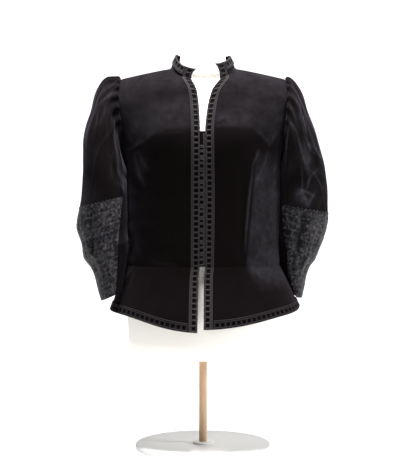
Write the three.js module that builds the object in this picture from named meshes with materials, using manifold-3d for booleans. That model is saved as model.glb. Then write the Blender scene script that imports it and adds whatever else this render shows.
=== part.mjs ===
// Velvet peplum jacket with puffed lace sleeves, worn by a limbless dress form on a pole and a round base.
// Millimetres, +Z up, the fronts face -Y. The origin is the middle of the base's underside.
import * as THREE from "three";
import { mergeVertices } from "three/addons/utils/BufferGeometryUtils.js";
import Module from "manifold-3d";

const wasm = await Module();
wasm.setup();

// Driving dimensions
const CLOTH = 2.2; // velvet with its backing
const LACE = 1.6;
const BRAID = 1.6;
const SEAM = 0.3; // gap between pieces that meet
const SIDE_Y = 2; // the side and shoulder seams lie in this plane
const WAIST_Z = 457;
const ARMPIT_Z = 722;
const SHOULDER_Z = 921;
const ARMHOLE_HALF = 58; // half the armhole's depth
const NECK_Z = 947; // side of the neck
const NECK_X = 80;
const SHOULDER_X = 206;
const NECK_STEPS = 4; // columns of each front and each half of the back along the neckline
const FULLNESS = 0.86; // under 1 the trunk is squarer than an ellipse

// Trunk sections of the bodice: height, half width at the side seam, depth in front and behind
const TRUNK = [
  { z: 457, half: 192, front: 110, back: 102 },
  { z: 520, half: 190, front: 114.5, back: 103 },
  { z: 600, half: 192, front: 120.5, back: 107 },
  { z: 680, half: 194, front: 127, back: 114 },
  { z: 722, half: 195, front: 130, back: 119 },
  { z: 770, half: 198, front: 128, back: 124 },
  { z: 825, half: 203, front: 118, back: 127 },
  { z: 870, half: 208, front: 104, back: 122 },
  { z: 921, half: 206, front: 92, back: 106 },
  { z: 960, half: 204, front: 84, back: 88 },
];

// Sections of the flared peplum below the waist seam
const PEPLUM = [
  { z: 300, half: 249, front: 158, back: 157 },
  { z: 347, half: 233, front: 146, back: 143 },
  { z: 400, half: 214, front: 129, back: 124 },
  { z: 457, half: 192, front: 110, back: 102 },
];

// Inner edge of each front, as its distance from the centre line
const FRONT_EDGE = [
  { z: 300, left: 14, right: 1 },
  { z: 430, left: 11, right: 2 },
  { z: 457, left: 8.5, right: 4.5 },
  { z: 620, left: 8, right: 6 },
  { z: 785, left: 7.8, right: 5 },
  { z: 836, left: 9.5, right: 9.5 },
  { z: 884, left: 14.5, right: 20.5 },
  { z: 916, left: 29, right: 42 },
];

// Soft forms of the trunk, by place and size: the bust, the shoulder blades
const SWELLS = [
  { x: 88, z: 768, wide: 62, tall: 70, deep: 15, face: "front" },
  { x: 84, z: 830, wide: 60, tall: 80, deep: 5, face: "back" },
];

// Waist darts and their drag, as shallow troughs along a line
const DARTS = [
  { x1: 95, z1: 735, x2: 92, z2: 470, wide: 9, deep: 2.4, face: "front" },
  { x1: 86, z1: 745, x2: 80, z2: 470, wide: 9, deep: 2.2, face: "back" },
];

const BLACK_VELVET = { color: 0x17151a, roughness: 0.75, metalness: 0 };
const PLACKET_CLOTH = { color: 0x1d1b20, roughness: 0.7, metalness: 0 };
const CORDED_LACE = { color: 0x3a3a44, roughness: 0.6, metalness: 0 };
const RIBBON = { color: 0x1b1a20, roughness: 0.45, metalness: 0 };
const LADDER_BRAID = { color: 0x3b383f, roughness: 0.6, metalness: 0 };
const FORM_JERSEY = { color: 0xe9e2d6, roughness: 0.85, metalness: 0 };
const POLE_WOOD = { color: 0xc9a37c, roughness: 0.55, metalness: 0 };
const BASE_PAINT = { color: 0xf0efec, roughness: 0.45, metalness: 0 };

const part = new THREE.Group();

// Numbers
const clamp = (v, low, high) => Math.min(high, Math.max(low, v));
const mix = (a, b, t) => a + (b - a) * t;
const smooth = (t) => {
  const s = clamp(t, 0, 1);
  return s * s * (3 - 2 * s);
};
const bell = (t) => Math.exp(-t * t);
const signedPower = (v, p) => Math.sign(v) * Math.abs(v) ** p;
const range = (count) => Array.from({ length: count + 1 }, (_, i) => i / count);

// Smooth reading of a table's column, with the slopes of a monotone cubic
function column(table, key, by = "z") {
  const xs = table.map((row) => row[by]);
  const ys = table.map((row) => row[key]);
  const steps = xs.slice(1).map((x, i) => (ys[i + 1] - ys[i]) / (x - xs[i]));
  const slopes = ys.map((_, i) => {
    if (i === 0) return steps[0];
    if (i === ys.length - 1) return steps[i - 1];
    if (steps[i - 1] * steps[i] <= 0) return 0;
    return (2 * steps[i - 1] * steps[i]) / (steps[i - 1] + steps[i]);
  });
  return (x) => {
    const at = clamp(x, xs[0], xs[xs.length - 1]);
    let i = 0;
    while (i < xs.length - 2 && at > xs[i + 1]) i += 1;
    const h = xs[i + 1] - xs[i];
    const t = (at - xs[i]) / h;
    const a = (1 + 2 * t) * (1 - t) ** 2 * ys[i];
    const b = t * (1 - t) ** 2 * h * slopes[i];
    const c = t * t * (3 - 2 * t) * ys[i + 1];
    const d = t * t * (t - 1) * h * slopes[i + 1];
    return a + b + c + d;
  };
}

const trunkHalf = column(TRUNK, "half");
const trunkDepth = { front: column(TRUNK, "front"), back: column(TRUNK, "back") };
const peplumHalf = column(PEPLUM, "half");
const peplumDepth = { front: column(PEPLUM, "front"), back: column(PEPLUM, "back") };
const frontEdge = { left: column(FRONT_EDGE, "left"), right: column(FRONT_EDGE, "right") };

// Closed walls
// A surface is a function (u, v) that gives a point; its outward normal comes from small steps.
const STEP = 1e-4;
function normalOf(surface, u, v, flip) {
  const along = surface(u + STEP, v).sub(surface(u - STEP, v));
  const up = surface(u, v + STEP).sub(surface(u, v - STEP));
  const normal = along.cross(up).normalize();
  return flip ? normal.negate() : normal;
}

function moved(surface, u, v, flip, distance) {
  return surface(u, v).addScaledVector(normalOf(surface, u, v, flip), distance);
}

// Collects triangles, and turns them into one closed geometry with shared corners.
class Shell {
  constructor() {
    this.corners = [];
  }
  triangle(a, b, c) {
    this.corners.push(a, b, c);
  }
  quad(a, b, c, d) {
    this.triangle(a, b, c);
    this.triangle(a, c, d);
  }
  geometry() {
    const flat = new THREE.BufferGeometry().setFromPoints(this.corners);
    const merged = mergeVertices(flat, 1e-3);
    const index = Array.from(merged.index.array);
    const kept = [];
    for (let i = 0; i < index.length; i += 3) {
      const [a, b, c] = index.slice(i, i + 3);
      if (a !== b && b !== c && a !== c) kept.push(a, b, c);
    }
    merged.setIndex(kept);
    merged.computeVertexNormals();
    return merged;
  }
}

// A wall of cloth between an outer grid and the same grid moved inwards, its squares split along the
// shorter diagonal.
// grid[i][j] holds { outer, inner }; rows run up, columns run round, faces are outward when flip is false.
function wallGeometry(grid, { ring = false, flip = false } = {}) {
  const shell = new Shell();
  const face = (a, b, c, d) => (flip ? shell.quad(a, d, c, b) : shell.quad(a, b, c, d));
  const rows = grid.length - 1;
  const columns = grid[0].length - (ring ? 0 : 1);
  const next = (j) => (ring ? (j + 1) % columns : j + 1);
  for (let i = 0; i < rows; i += 1) {
    for (let j = 0; j < columns; j += 1) {
      let [a, b] = [grid[i][j], grid[i][next(j)]];
      let [d, c] = [grid[i + 1][j], grid[i + 1][next(j)]];
      if (b.outer.distanceTo(d.outer) < a.outer.distanceTo(c.outer)) [a, b, c, d] = [b, c, d, a];
      face(a.outer, b.outer, c.outer, d.outer);
      face(a.inner, d.inner, c.inner, b.inner);
    }
  }
  for (let j = 0; j < columns; j += 1) {
    const [a, b] = [grid[0][j], grid[0][next(j)]];
    const [d, c] = [grid[rows][j], grid[rows][next(j)]];
    face(a.inner, b.inner, b.outer, a.outer);
    face(d.outer, c.outer, c.inner, d.inner);
  }
  if (!ring) {
    for (let i = 0; i < rows; i += 1) {
      const [a, d] = [grid[i][0], grid[i + 1][0]];
      const [b, c] = [grid[i][columns], grid[i + 1][columns]];
      face(a.inner, a.outer, d.outer, d.inner);
      face(b.outer, b.inner, c.inner, c.outer);
    }
  }
  return shell.geometry();
}

// A wall on a surface: the columns are values of u, the rows values of v, out lifts it off the surface.
function surfaceWall(surface, us, vs, thick, { flip = false, out = 0 } = {}) {
  const grid = vs.map((v) => us.map((u) => ({
    outer: moved(surface, u, v, flip, out),
    inner: moved(surface, u, v, flip, out - thick),
  })));
  return wallGeometry(grid, { flip });
}

function addPiece(name, geometry, finish) {
  const mesh = new THREE.Mesh(geometry, new THREE.MeshStandardMaterial(finish));
  mesh.name = name;
  part.add(mesh);
}

// Trunk
const NECK_ROUND = { front: 1.6, back: 2 };
const NECKLINE_Z = { front: 916, back: 953 };
const RIDGE_CENTRE_Z = { front: 942, back: 968 };
const ROLL = { front: 66, back: 74 }; // the trunk rounds over to the shoulder line in this height

function ridgeHeight(face, x) {
  if (x < NECK_X) return mix(RIDGE_CENTRE_Z[face], NECK_Z, (x / NECK_X) ** 2);
  const t = clamp((x - NECK_X) / (SHOULDER_X - NECK_X), 0, 1);
  return mix(NECK_Z, SHOULDER_Z, t ** 1.15);
}

function armholeDepth(q) {
  return 2 * ARMHOLE_HALF * Math.sqrt(Math.max(q * (1 - q), 0));
}

function rollAt(face, below) {
  const fall = clamp(below / ROLL[face], 0, 1);
  return Math.sqrt(Math.max(1 - (1 - fall) ** 2, 1e-6));
}

// The angle round the trunk at which the side seam or the armhole's edge lies; it is read a little
// below the column's top, where it stays smooth.
function armholeAngle(face, z, top, ridge) {
  const read = Math.min(z, top - 2);
  const q = clamp((read - ARMPIT_Z) / (top - ARMPIT_Z), 0, 1);
  const reach = trunkDepth[face](read) * rollAt(face, ridge - read);
  return Math.acos(clamp(armholeDepth(q) / reach, 0, 0.95) ** (1 / FULLNESS));
}

// A point of the trunk. w runs from the centre edge to the side seam or armhole, z is the height,
// top the column's own upper end, ridge the height at which the trunk rounds over to the shoulder,
// edge the half width that the piece leaves free at the centre.
function trunkPoint({ face, side, w, z, top, ridge, edge }) {
  const sign = side === "left" ? -1 : 1;
  const depth = trunkDepth[face](z);
  const roll = rollAt(face, ridge - z);
  const armhole = armholeAngle(face, z, top, ridge);
  const half = trunkHalf(z);
  const angle = mix(angleOf(edge, half, armhole), armhole, w);
  const x = (sign * half * Math.sin(angle)) / Math.sin(armhole);
  let y = depth * roll * signedPower(Math.cos(angle), FULLNESS);
  for (const s of SWELLS) {
    if (s.face === face) y += s.deep * bell((Math.abs(x) - s.x) / s.wide) * bell((z - s.z) / s.tall);
  }
  for (const d of DARTS) {
    if (d.face !== face) continue;
    const along = (z - d.z2) / (d.z1 - d.z2);
    const line = mix(d.x2, d.x1, along);
    y -= d.deep * bell((Math.abs(x) - line) / d.wide) * smooth(along / 0.1) * smooth((1 - along) / 0.5);
  }
  y += SEAM / 2;
  return new THREE.Vector3(x, SIDE_Y + (face === "front" ? -y : y), z);
}

// Where each column of the bodice ends: x along the shoulder line or neckline, then its height
const TOP_ANGLE = {
  front: armholeAngle("front", SHOULDER_Z, SHOULDER_Z, SHOULDER_Z),
  back: armholeAngle("back", SHOULDER_Z, SHOULDER_Z, SHOULDER_Z),
};

function angleOf(x, half, armhole) {
  return Math.asin(clamp((x * Math.sin(armhole)) / half, -1, 1));
}

function topX(face, w, edge) {
  const armhole = TOP_ANGLE[face];
  const angle = mix(angleOf(edge, SHOULDER_X, armhole), armhole, w);
  return (SHOULDER_X * Math.sin(angle)) / Math.sin(armhole);
}

function neckColumn(face, edge) {
  const armhole = TOP_ANGLE[face];
  const start = angleOf(edge, SHOULDER_X, armhole);
  return (angleOf(NECK_X, SHOULDER_X, armhole) - start) / (armhole - start);
}

function columnEnd(face, w, edge) {
  const x = topX(face, w, edge);
  const ridge = ridgeHeight(face, x);
  if (x >= NECK_X) return { top: ridge, ridge };
  const t = clamp((x - edge) / (NECK_X - edge), 0, 1);
  return { top: mix(NECKLINE_Z[face], NECK_Z, t ** NECK_ROUND[face]), ridge };
}

const edgeOf = (face, side) => (z) => (face === "front" ? frontEdge[side](z) : 0);

// v below 0.5 runs from the waist to the armpit, above it from the armpit to the column's top.
function bodiceSurface(face, side) {
  const edgeAt = edgeOf(face, side);
  return (w, v) => {
    const { top, ridge } = columnEnd(face, w, edgeAt(NECKLINE_Z[face]));
    const low = WAIST_Z + SEAM / 2;
    const z = v < 0.5 ? mix(low, ARMPIT_Z, v * 2) : mix(ARMPIT_Z, top, (v - 0.5) * 2);
    return trunkPoint({ face, side, w, z, top, ridge, edge: edgeAt(z) });
  };
}

// Both halves of a back piece as one surface, u from -1 at the left side seam to 1 at the right
function bothSides(surfaceOfSide) {
  const left = surfaceOfSide("left");
  const right = surfaceOfSide("right");
  return (u, v) => (u < 0 ? left(-u, v) : right(u, v));
}

const SIDES = [
  { side: "left", sign: -1, flip: true },
  { side: "right", sign: 1, flip: false },
];

// Rows: even to the armpit, then closer at both ends of the armhole
const BODICE_ROWS = [
  ...range(5).map((t) => t / 2),
  ...range(8).slice(1).map((t) => 0.5 + (1 - Math.cos(Math.PI * t)) / 4),
];

function bodiceColumns(face, edge) {
  const neck = neckColumn(face, edge);
  const rest = range(6).slice(1);
  return [...range(NECK_STEPS).map((t) => t * neck), ...rest.map((t) => mix(neck, 1, t))];
}

function addBodice() {
  for (const { side, flip } of SIDES) {
    const us = bodiceColumns("front", edgeOf("front", side)(NECKLINE_Z.front));
    const wall = surfaceWall(bodiceSurface("front", side), us, BODICE_ROWS, CLOTH, { flip });
    addPiece(`bodice_front_${side}`, wall, BLACK_VELVET);
  }
  const half = bodiceColumns("back", 0);
  const us = [...half.slice(1).reverse().map((w) => -w), ...half];
  const back = bothSides((side) => bodiceSurface("back", side));
  addPiece("bodice_back", surfaceWall(back, us, BODICE_ROWS, CLOTH, { flip: true }), BLACK_VELVET);
}

// Peplum: v is 0 at the hem and 1 at the waist seam
const HEM = {
  side: 347,
  front: { left: { dip: 43.5, power: 3.4 }, right: { dip: 36, power: 3 } },
  back: { dip: 6, power: 2 },
  rise: { left: 0, right: 10, power: 16 }, // at the side seam
};
const HEM_SHIFT = { left: 2, right: 10 }; // the hem's sides hang a little to the right

// Flutes of the peplum: angle from the centre line in degrees, width in degrees, height in mm at the hem
const FLUTES = [
  { face: "front", at: 66, wide: 13, high: 5 },
  { face: "front", at: 38, wide: 12, high: -2 },
  { face: "back", at: 22, wide: 12, high: 5 },
  { face: "back", at: 45, wide: 10, high: -3 },
  { face: "back", at: 66, wide: 12, high: 4.5 },
];

function hemHeight(face, side, angle) {
  const { dip, power } = face === "front" ? HEM.front[side] : HEM.back;
  const rise = HEM.rise[side] * Math.abs(Math.sin(angle)) ** HEM.rise.power;
  return HEM.side + rise - dip * Math.max(Math.cos(angle), 0) ** power;
}

function peplumSurface(face, side) {
  const sign = side === "left" ? -1 : 1;
  const edgeAt = edgeOf(face, side);
  return (w, v) => {
    const start = Math.asin(edgeAt(HEM.side) / peplumHalf(HEM.side));
    const low = hemHeight(face, side, mix(start, Math.PI / 2, w));
    const z = mix(low, WAIST_Z - SEAM / 2, v);
    const half = peplumHalf(z);
    const angle = mix(Math.asin(edgeAt(z) / half), Math.PI / 2, w);
    const degrees = THREE.MathUtils.radToDeg(angle);
    let flute = 0;
    for (const f of FLUTES) {
      if (f.face === face) flute += f.high * bell((degrees - f.at) / f.wide);
    }
    flute *= clamp(1 - v, 0, 1.1) ** 1.3;
    const [sine, cosine] = [Math.sin(angle), Math.cos(angle)];
    const x = sign * (half * sine + flute * sine) + HEM_SHIFT[side] * (1 - v) * sine * sine;
    const y = peplumDepth[face](z) * signedPower(cosine, FULLNESS) + flute * cosine + SEAM / 2;
    return new THREE.Vector3(x, SIDE_Y + (face === "front" ? -y : y), z);
  };
}

const PEPLUM_ROWS = [0, 0.22, 0.6, 1];

function addPeplum() {
  for (const { side, flip } of SIDES) {
    const wall = surfaceWall(peplumSurface("front", side), range(14), PEPLUM_ROWS, CLOTH, { flip });
    addPiece(`peplum_front_${side}`, wall, BLACK_VELVET);
  }
  const back = bothSides((side) => peplumSurface("back", side));
  const us = range(28).map((t) => 2 * t - 1);
  addPiece("peplum_back", surfaceWall(back, us, PEPLUM_ROWS, CLOTH, { flip: true }), BLACK_VELVET);
}

// Stand collar on the neckline of the panels. u runs from the left front end round the back to the
// right front end, v up the collar.
const COLLAR = [
  { u: 0, high: 24, lean: 2, forward: 7, inward: 13 },
  { u: 0.08, high: 26, lean: 7, forward: 2, inward: 3 },
  { u: 0.22, high: 36, lean: 15, forward: 0, inward: 0 },
  { u: 0.5, high: 33, lean: 7, forward: 0, inward: 0 },
  { u: 0.78, high: 33, lean: 16, forward: 0, inward: 0 },
  { u: 0.92, high: 35, lean: 9, forward: 3, inward: 2 },
  { u: 1, high: 37, lean: 3, forward: 8, inward: 11 },
];
const COLLAR_ROWS = [0, 0.4, 1];
const NECK_AXIS_Y = -8;
const NECK_GAP = 0.9; // the collar stands this far above the panels, whose edges slope

// The corners of the panels' upper edges, from the left front end round the back to the right
function necklineCorners() {
  const corners = [];
  const add = (face, side, steps) => {
    const neck = neckColumn(face, edgeOf(face, side)(NECKLINE_Z[face]));
    for (const t of steps) corners.push(bodiceSurface(face, side)(t * neck, 1));
  };
  const steps = range(NECK_STEPS);
  add("front", "left", steps);
  add("back", "left", steps.slice(0, -1).reverse());
  add("back", "right", steps.slice(1, -1));
  add("front", "right", [...steps].reverse());
  return corners;
}

function straightRuns(corners) {
  const path = new THREE.CurvePath();
  for (const [i, corner] of corners.slice(1).entries()) {
    path.add(new THREE.LineCurve3(corners[i], corner));
  }
  return path;
}

const neckCorners = necklineCorners();
const neckline = straightRuns(neckCorners);
const softNeckline = new THREE.CatmullRomCurve3(neckCorners, false, "centripetal");
const neckLengths = neckline.getCurveLengths();
const neckLength = neckline.getLength();
const collarColumn = (key) => column(COLLAR, key, "u");
const collarForm = {
  high: collarColumn("high"),
  lean: collarColumn("lean"),
  forward: collarColumn("forward"),
  inward: collarColumn("inward"),
};

function collarSurface(u, v) {
  const at = clamp(u, 0, 1);
  const base = neckline.getPointAt(at).lerp(softNeckline.getPointAt(at), smooth(v / COLLAR_ROWS[1]));
  if (u !== at) base.addScaledVector(neckline.getTangentAt(at), (u - at) * neckLength);
  const radial = new THREE.Vector3(base.x, base.y - NECK_AXIS_Y, 0).normalize();
  const rise = v ** 1.2 || 0;
  base.z += NECK_GAP + collarForm.high(at) * v;
  base.addScaledVector(radial, -SEAM - collarForm.lean(at) * rise);
  base.y -= collarForm.forward(at) * v ** 3;
  base.x -= Math.sign(base.x) * collarForm.inward(at) * v ** 3;
  return base;
}

// Columns at the panels' corners and halfway between them
function collarColumns() {
  const ends = [0, ...neckLengths.map((length) => length / neckLength)];
  return ends.flatMap((u, i) => (i ? [(ends[i - 1] + u) / 2, u] : [u]));
}

function addCollar() {
  const wall = surfaceWall(collarSurface, collarColumns(), COLLAR_ROWS, CLOTH, { flip: true });
  addPiece("collar", wall, BLACK_VELVET);
}

// Finds w for a place x on a front panel, and its v for the height z
function frontPlace(side, x, z) {
  const edge = edgeOf("front", side);
  if (z < WAIST_Z) {
    const angle = Math.asin(x / peplumHalf(z));
    const start = Math.asin(edge(z) / peplumHalf(z));
    const w = (angle - start) / (Math.PI / 2 - start);
    const hemStart = Math.asin(edge(HEM.side) / peplumHalf(HEM.side));
    const low = hemHeight("front", side, mix(hemStart, Math.PI / 2, w));
    return { w, v: (z - low) / (WAIST_Z - SEAM / 2 - low) };
  }
  const half = trunkHalf(z);
  let w = 0;
  let top = 0;
  for (let pass = 0; pass < 4; pass += 1) {
    const end = columnEnd("front", w, edge(NECKLINE_Z.front));
    top = end.top;
    const armhole = armholeAngle("front", z, top, end.ridge);
    const start = angleOf(edge(z), half, armhole);
    w = (angleOf(x, half, armhole) - start) / (armhole - start);
  }
  const low = WAIST_Z + SEAM / 2;
  const v = z < ARMPIT_Z ? (z - low) / (ARMPIT_Z - low) / 2 : 0.5 + (z - ARMPIT_Z) / (top - ARMPIT_Z) / 2;
  return { w, v };
}

function onFront(side, flip, x, z, out) {
  const { w, v } = frontPlace(side, x, z);
  const surface = z < WAIST_Z ? peplumSurface("front", side) : bodiceSurface("front", side);
  return moved(surface, w, v, flip, out);
}

// Placket: the underlap behind both front edges
const PLACKET = { half: 24, low: WAIST_Z + 1, high: 785, behind: CLOTH + 0.9, thick: 1.6 };

function placketSurface(u, v) {
  const x = mix(-PLACKET.half, PLACKET.half, u);
  const z = mix(PLACKET.low, PLACKET.high, v);
  const cosine = Math.cos(Math.asin(x / trunkHalf(z)));
  const roll = rollAt("front", RIDGE_CENTRE_Z.front - z);
  let y = trunkDepth.front(z) * roll * signedPower(cosine, FULLNESS) + SEAM / 2;
  for (const s of SWELLS) {
    if (s.face === "front") y += s.deep * bell((Math.abs(x) - s.x) / s.wide) * bell((z - s.z) / s.tall);
  }
  return new THREE.Vector3(x, SIDE_Y - y, z);
}

function addPlacket() {
  const options = { out: -PLACKET.behind };
  const wall = surfaceWall(placketSurface, range(3), range(9), PLACKET.thick, options);
  addPiece("placket", wall, PLACKET_CLOTH);
}

// Ladder braid: two rails joined by bars, with a cut gap in each cell
const LADDER = { rail: 4.2, gap: 9.3, wideRail: 7.5, pitch: 13.4, bar: 4.6, lift: 0.5 };
const EDGE_IN = 0.6; // the braid stays this far inside the cloth's edge
const LADDER_WIDTH = LADDER.rail + LADDER.gap + LADDER.wideRail;
const LADDER_LINES = [0, LADDER.rail, LADDER.rail + LADDER.gap, LADDER_WIDTH];

// place(s, across, out) gives a point of the strip: s from 0 to 1 along it, across and out in mm.
function ladderGeometry(place, length, flip) {
  const shell = new Shell();
  const cells = Math.round((length - LADDER.bar) / LADDER.pitch);
  const share = (LADDER.bar / length) * ((cells * LADDER.pitch + LADDER.bar) / length);
  const pitch = (1 - share) / cells;
  const row = (s) => LADDER_LINES.map((across) => ({
    outer: place(s, across, LADDER.lift + BRAID),
    inner: place(s, across, LADDER.lift),
  }));
  const both = (corners) => {
    const order = flip ? [...corners].reverse() : corners;
    const faces = [order.map((p) => p.outer), [...order].reverse().map((p) => p.inner)];
    for (const face of faces) {
      if (corners.length === 4) shell.quad(...face);
      else shell.triangle(...face);
    }
  };
  const side = (p, q) => {
    const [a, b] = flip ? [q, p] : [p, q];
    shell.quad(a.inner, b.inner, b.outer, a.outer);
  };
  let a = row(0);
  for (let j = 0; j < 3; j += 1) side(a[j], a[j + 1]);
  for (let k = 0; k < cells; k += 1) {
    const b = row(k * pitch + share);
    const c = row((k + 1) * pitch);
    both([a[1], a[2], b[2], b[1]]);
    both([a[0], a[1], b[1]]);
    both([a[0], b[1], c[0]]);
    both([c[0], b[1], c[1]]);
    both([a[2], a[3], b[2]]);
    both([b[2], a[3], c[3]]);
    both([b[2], c[3], c[2]]);
    side(c[0], a[0]);
    side(a[3], c[3]);
    side(b[2], b[1]);
    side(c[1], c[2]);
    side(b[1], c[1]);
    side(c[2], b[2]);
    a = c;
  }
  const end = row(1);
  for (let j = 0; j < 3; j += 1) both([a[j], a[j + 1], end[j + 1], end[j]]);
  for (let j = 0; j < 3; j += 1) side(end[j + 1], end[j]);
  side(end[0], a[0]);
  side(a[3], end[3]);
  return shell.geometry();
}

// Even steps along a curve of points: turns a share of its length into its own parameter
function evenly(point, samples = 160) {
  const marks = range(samples).map((t) => point(t));
  const lengths = [0];
  for (let i = 1; i <= samples; i += 1) lengths.push(lengths[i - 1] + marks[i].distanceTo(marks[i - 1]));
  const length = lengths[samples];
  const at = (s) => {
    const goal = clamp(s, 0, 1) * length;
    let i = 1;
    while (i < samples && lengths[i] < goal) i += 1;
    const t = (goal - lengths[i - 1]) / (lengths[i] - lengths[i - 1]);
    return (i - 1 + t) / samples;
  };
  return { at, length };
}

// The front braids run on up the collar's ends; this share of each lies on the front.
const NECK_SHARE = 0.95;

function addFrontBraids() {
  for (const { side, flip } of SIDES) {
    const edge = edgeOf("front", side);
    const start = Math.asin(edge(HEM.side) / peplumHalf(HEM.side));
    const low = hemHeight("front", side, start) + EDGE_IN;
    const high = NECKLINE_Z.front - 1;
    const onCollar = (across, v, out) => {
      const reach = (SEAM + across) / neckLength;
      return moved(collarSurface, side === "left" ? reach : 1 - reach, v, true, out + 2 * SEAM);
    };
    const tall = onCollar(0, 0, 0).distanceTo(onCollar(0, 1, 0));
    const strip = (t, across, out) => {
      if (t > NECK_SHARE) {
        return onCollar(across, ((t - NECK_SHARE) / (1 - NECK_SHARE)) * (1 - EDGE_IN / tall), out);
      }
      const z = mix(low, high, t / NECK_SHARE);
      return onFront(side, flip, edge(z) + SEAM + across, z, out);
    };
    const path = evenly((t) => strip(t, 0, 0));
    const place = (s, across, out) => strip(path.at(s), across, out);
    addPiece(`braid_front_${side}`, ladderGeometry(place, path.length, flip), LADDER_BRAID);
  }
}

// Hem braid: a strip above the hem of each peplum piece
function hemStrip(surface, from, to, flip) {
  const u = (t) => mix(from, to, t);
  const path = evenly((t) => surface(u(t), 0));
  const place = (s, across, out) => {
    const at = u(path.at(s));
    const tall = surface(at, 0).distanceTo(surface(at, 0.3)) / 0.3;
    return moved(surface, at, (across + EDGE_IN) / tall, flip, out);
  };
  return ladderGeometry(place, path.length, !flip);
}

function addHemBraids() {
  for (const { side, flip } of SIDES) {
    const edge = edgeOf("front", side)(HEM.side);
    const { w } = frontPlace(side, edge + LADDER_WIDTH + 1.2, HEM.side);
    const strip = hemStrip(peplumSurface("front", side), w, 0.999, flip);
    addPiece(`braid_hem_${side}`, strip, LADDER_BRAID);
  }
  const back = bothSides((side) => peplumSurface("back", side));
  addPiece("braid_hem_back", hemStrip(back, -0.999, 0.999, true), LADDER_BRAID);
}

function addCollarBraid() {
  const start = (LADDER_WIDTH + 5 * SEAM) / neckLength;
  const path = evenly((t) => collarSurface(mix(start, 1 - start, t), 1));
  const place = (s, across, out) => {
    const u = mix(start, 1 - start, path.at(s));
    const tall = collarSurface(u, 0).distanceTo(collarSurface(u, 1));
    return moved(collarSurface, u, 1 - (across + EDGE_IN) / tall, true, out + 2 * SEAM);
  };
  addPiece("braid_collar", ladderGeometry(place, path.length, true), LADDER_BRAID);
}

// Sleeves. Each row is a ring between an outer point and an inner point in the front view, with the
// ring's middle and half depth front to back; at runs from the armhole (0) to the wrist (1).
const SLEEVE = {
  left: [
    { at: 0, ox: 206, oz: 921, ix: 195, iz: 722, y: 2, half: 58 },
    { at: 0.03, ox: 215, oz: 927.5, ix: 199.5, iz: 717, y: 2, half: 64 },
    { at: 0.07, ox: 234, oz: 926, ix: 199, iz: 710, y: 0, half: 71 },
    { at: 0.12, ox: 252, oz: 912, ix: 192, iz: 702, y: -5, half: 77 },
    { at: 0.17, ox: 265, oz: 889, ix: 189, iz: 694, y: -10, half: 81 },
    { at: 0.24, ox: 276, oz: 848, ix: 187, iz: 683, y: -16, half: 85 },
    { at: 0.32, ox: 289, oz: 803, ix: 188, iz: 670, y: -22, half: 88 },
    { at: 0.4, ox: 297, oz: 752, ix: 187, iz: 658, y: -26, half: 89 },
    { at: 0.48, ox: 297, oz: 700, ix: 187, iz: 646, y: -29, half: 89 },
    { at: 0.56, ox: 300, oz: 640, ix: 187, iz: 636, y: -31, half: 88 },
    { at: 0.62, ox: 307, oz: 594, ix: 187, iz: 628, y: -32, half: 88 },
    { at: 0.69, ox: 311, oz: 556, ix: 187, iz: 592, y: -33, half: 87 },
    { at: 0.76, ox: 302, oz: 519, ix: 187, iz: 557, y: -34, half: 82 },
    { at: 0.785, ox: 299, oz: 507, ix: 187, iz: 544, y: -35, half: 80 },
    { at: 0.84, ox: 293, oz: 480, ix: 185, iz: 520, y: -38, half: 76 },
    { at: 0.9, ox: 273, oz: 449, ix: 186, iz: 494, y: -42, half: 62 },
    { at: 1, ox: 250, oz: 373, ix: 198, iz: 396, y: -50, half: 49 },
  ],
  right: [
    { at: 0, ox: 206, oz: 921, ix: 195, iz: 722, y: 2, half: 58 },
    { at: 0.03, ox: 213, oz: 926, ix: 199.5, iz: 717, y: 2, half: 64 },
    { at: 0.07, ox: 226, oz: 918, ix: 198, iz: 709, y: 4, half: 70 },
    { at: 0.12, ox: 240, oz: 899, ix: 192, iz: 700, y: 8, half: 76 },
    { at: 0.17, ox: 251, oz: 877, ix: 189, iz: 690, y: 12, half: 80 },
    { at: 0.24, ox: 262, oz: 847, ix: 189, iz: 678, y: 16, half: 84 },
    { at: 0.32, ox: 278, oz: 803, ix: 187, iz: 664, y: 20, half: 87 },
    { at: 0.4, ox: 294, oz: 752, ix: 186, iz: 650, y: 23, half: 89 },
    { at: 0.48, ox: 307, oz: 702, ix: 186, iz: 636, y: 26, half: 89 },
    { at: 0.56, ox: 314, oz: 640, ix: 186, iz: 621, y: 28, half: 88 },
    { at: 0.62, ox: 315, oz: 580, ix: 186, iz: 606, y: 29, half: 87 },
    { at: 0.69, ox: 311, oz: 550, ix: 186, iz: 578, y: 30, half: 86 },
    { at: 0.76, ox: 298, oz: 509, ix: 187, iz: 536, y: 31, half: 81 },
    { at: 0.785, ox: 294, oz: 497, ix: 187, iz: 523, y: 32, half: 79 },
    { at: 0.84, ox: 285, oz: 472, ix: 189, iz: 498, y: 35, half: 75 },
    { at: 0.9, ox: 266, oz: 446, ix: 193, iz: 461, y: 40, half: 62 },
    { at: 1, ox: 251, oz: 373, ix: 210, iz: 380, y: 48, half: 49 },
  ],
};
const BESIDE = { flat: 0.9, reach: 0.13, from: 0.1 }; // the rings are flatter beside the body
const PRESS = { clear: 1.8, soft: 2, from: 0.04, hem: 4 }; // sleeve against the body, and over its hem
const SLEEVE_SEAM = { lace: 0.62, beading: 0.76, lower: 0.785, cuff: 0.9 };

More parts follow.
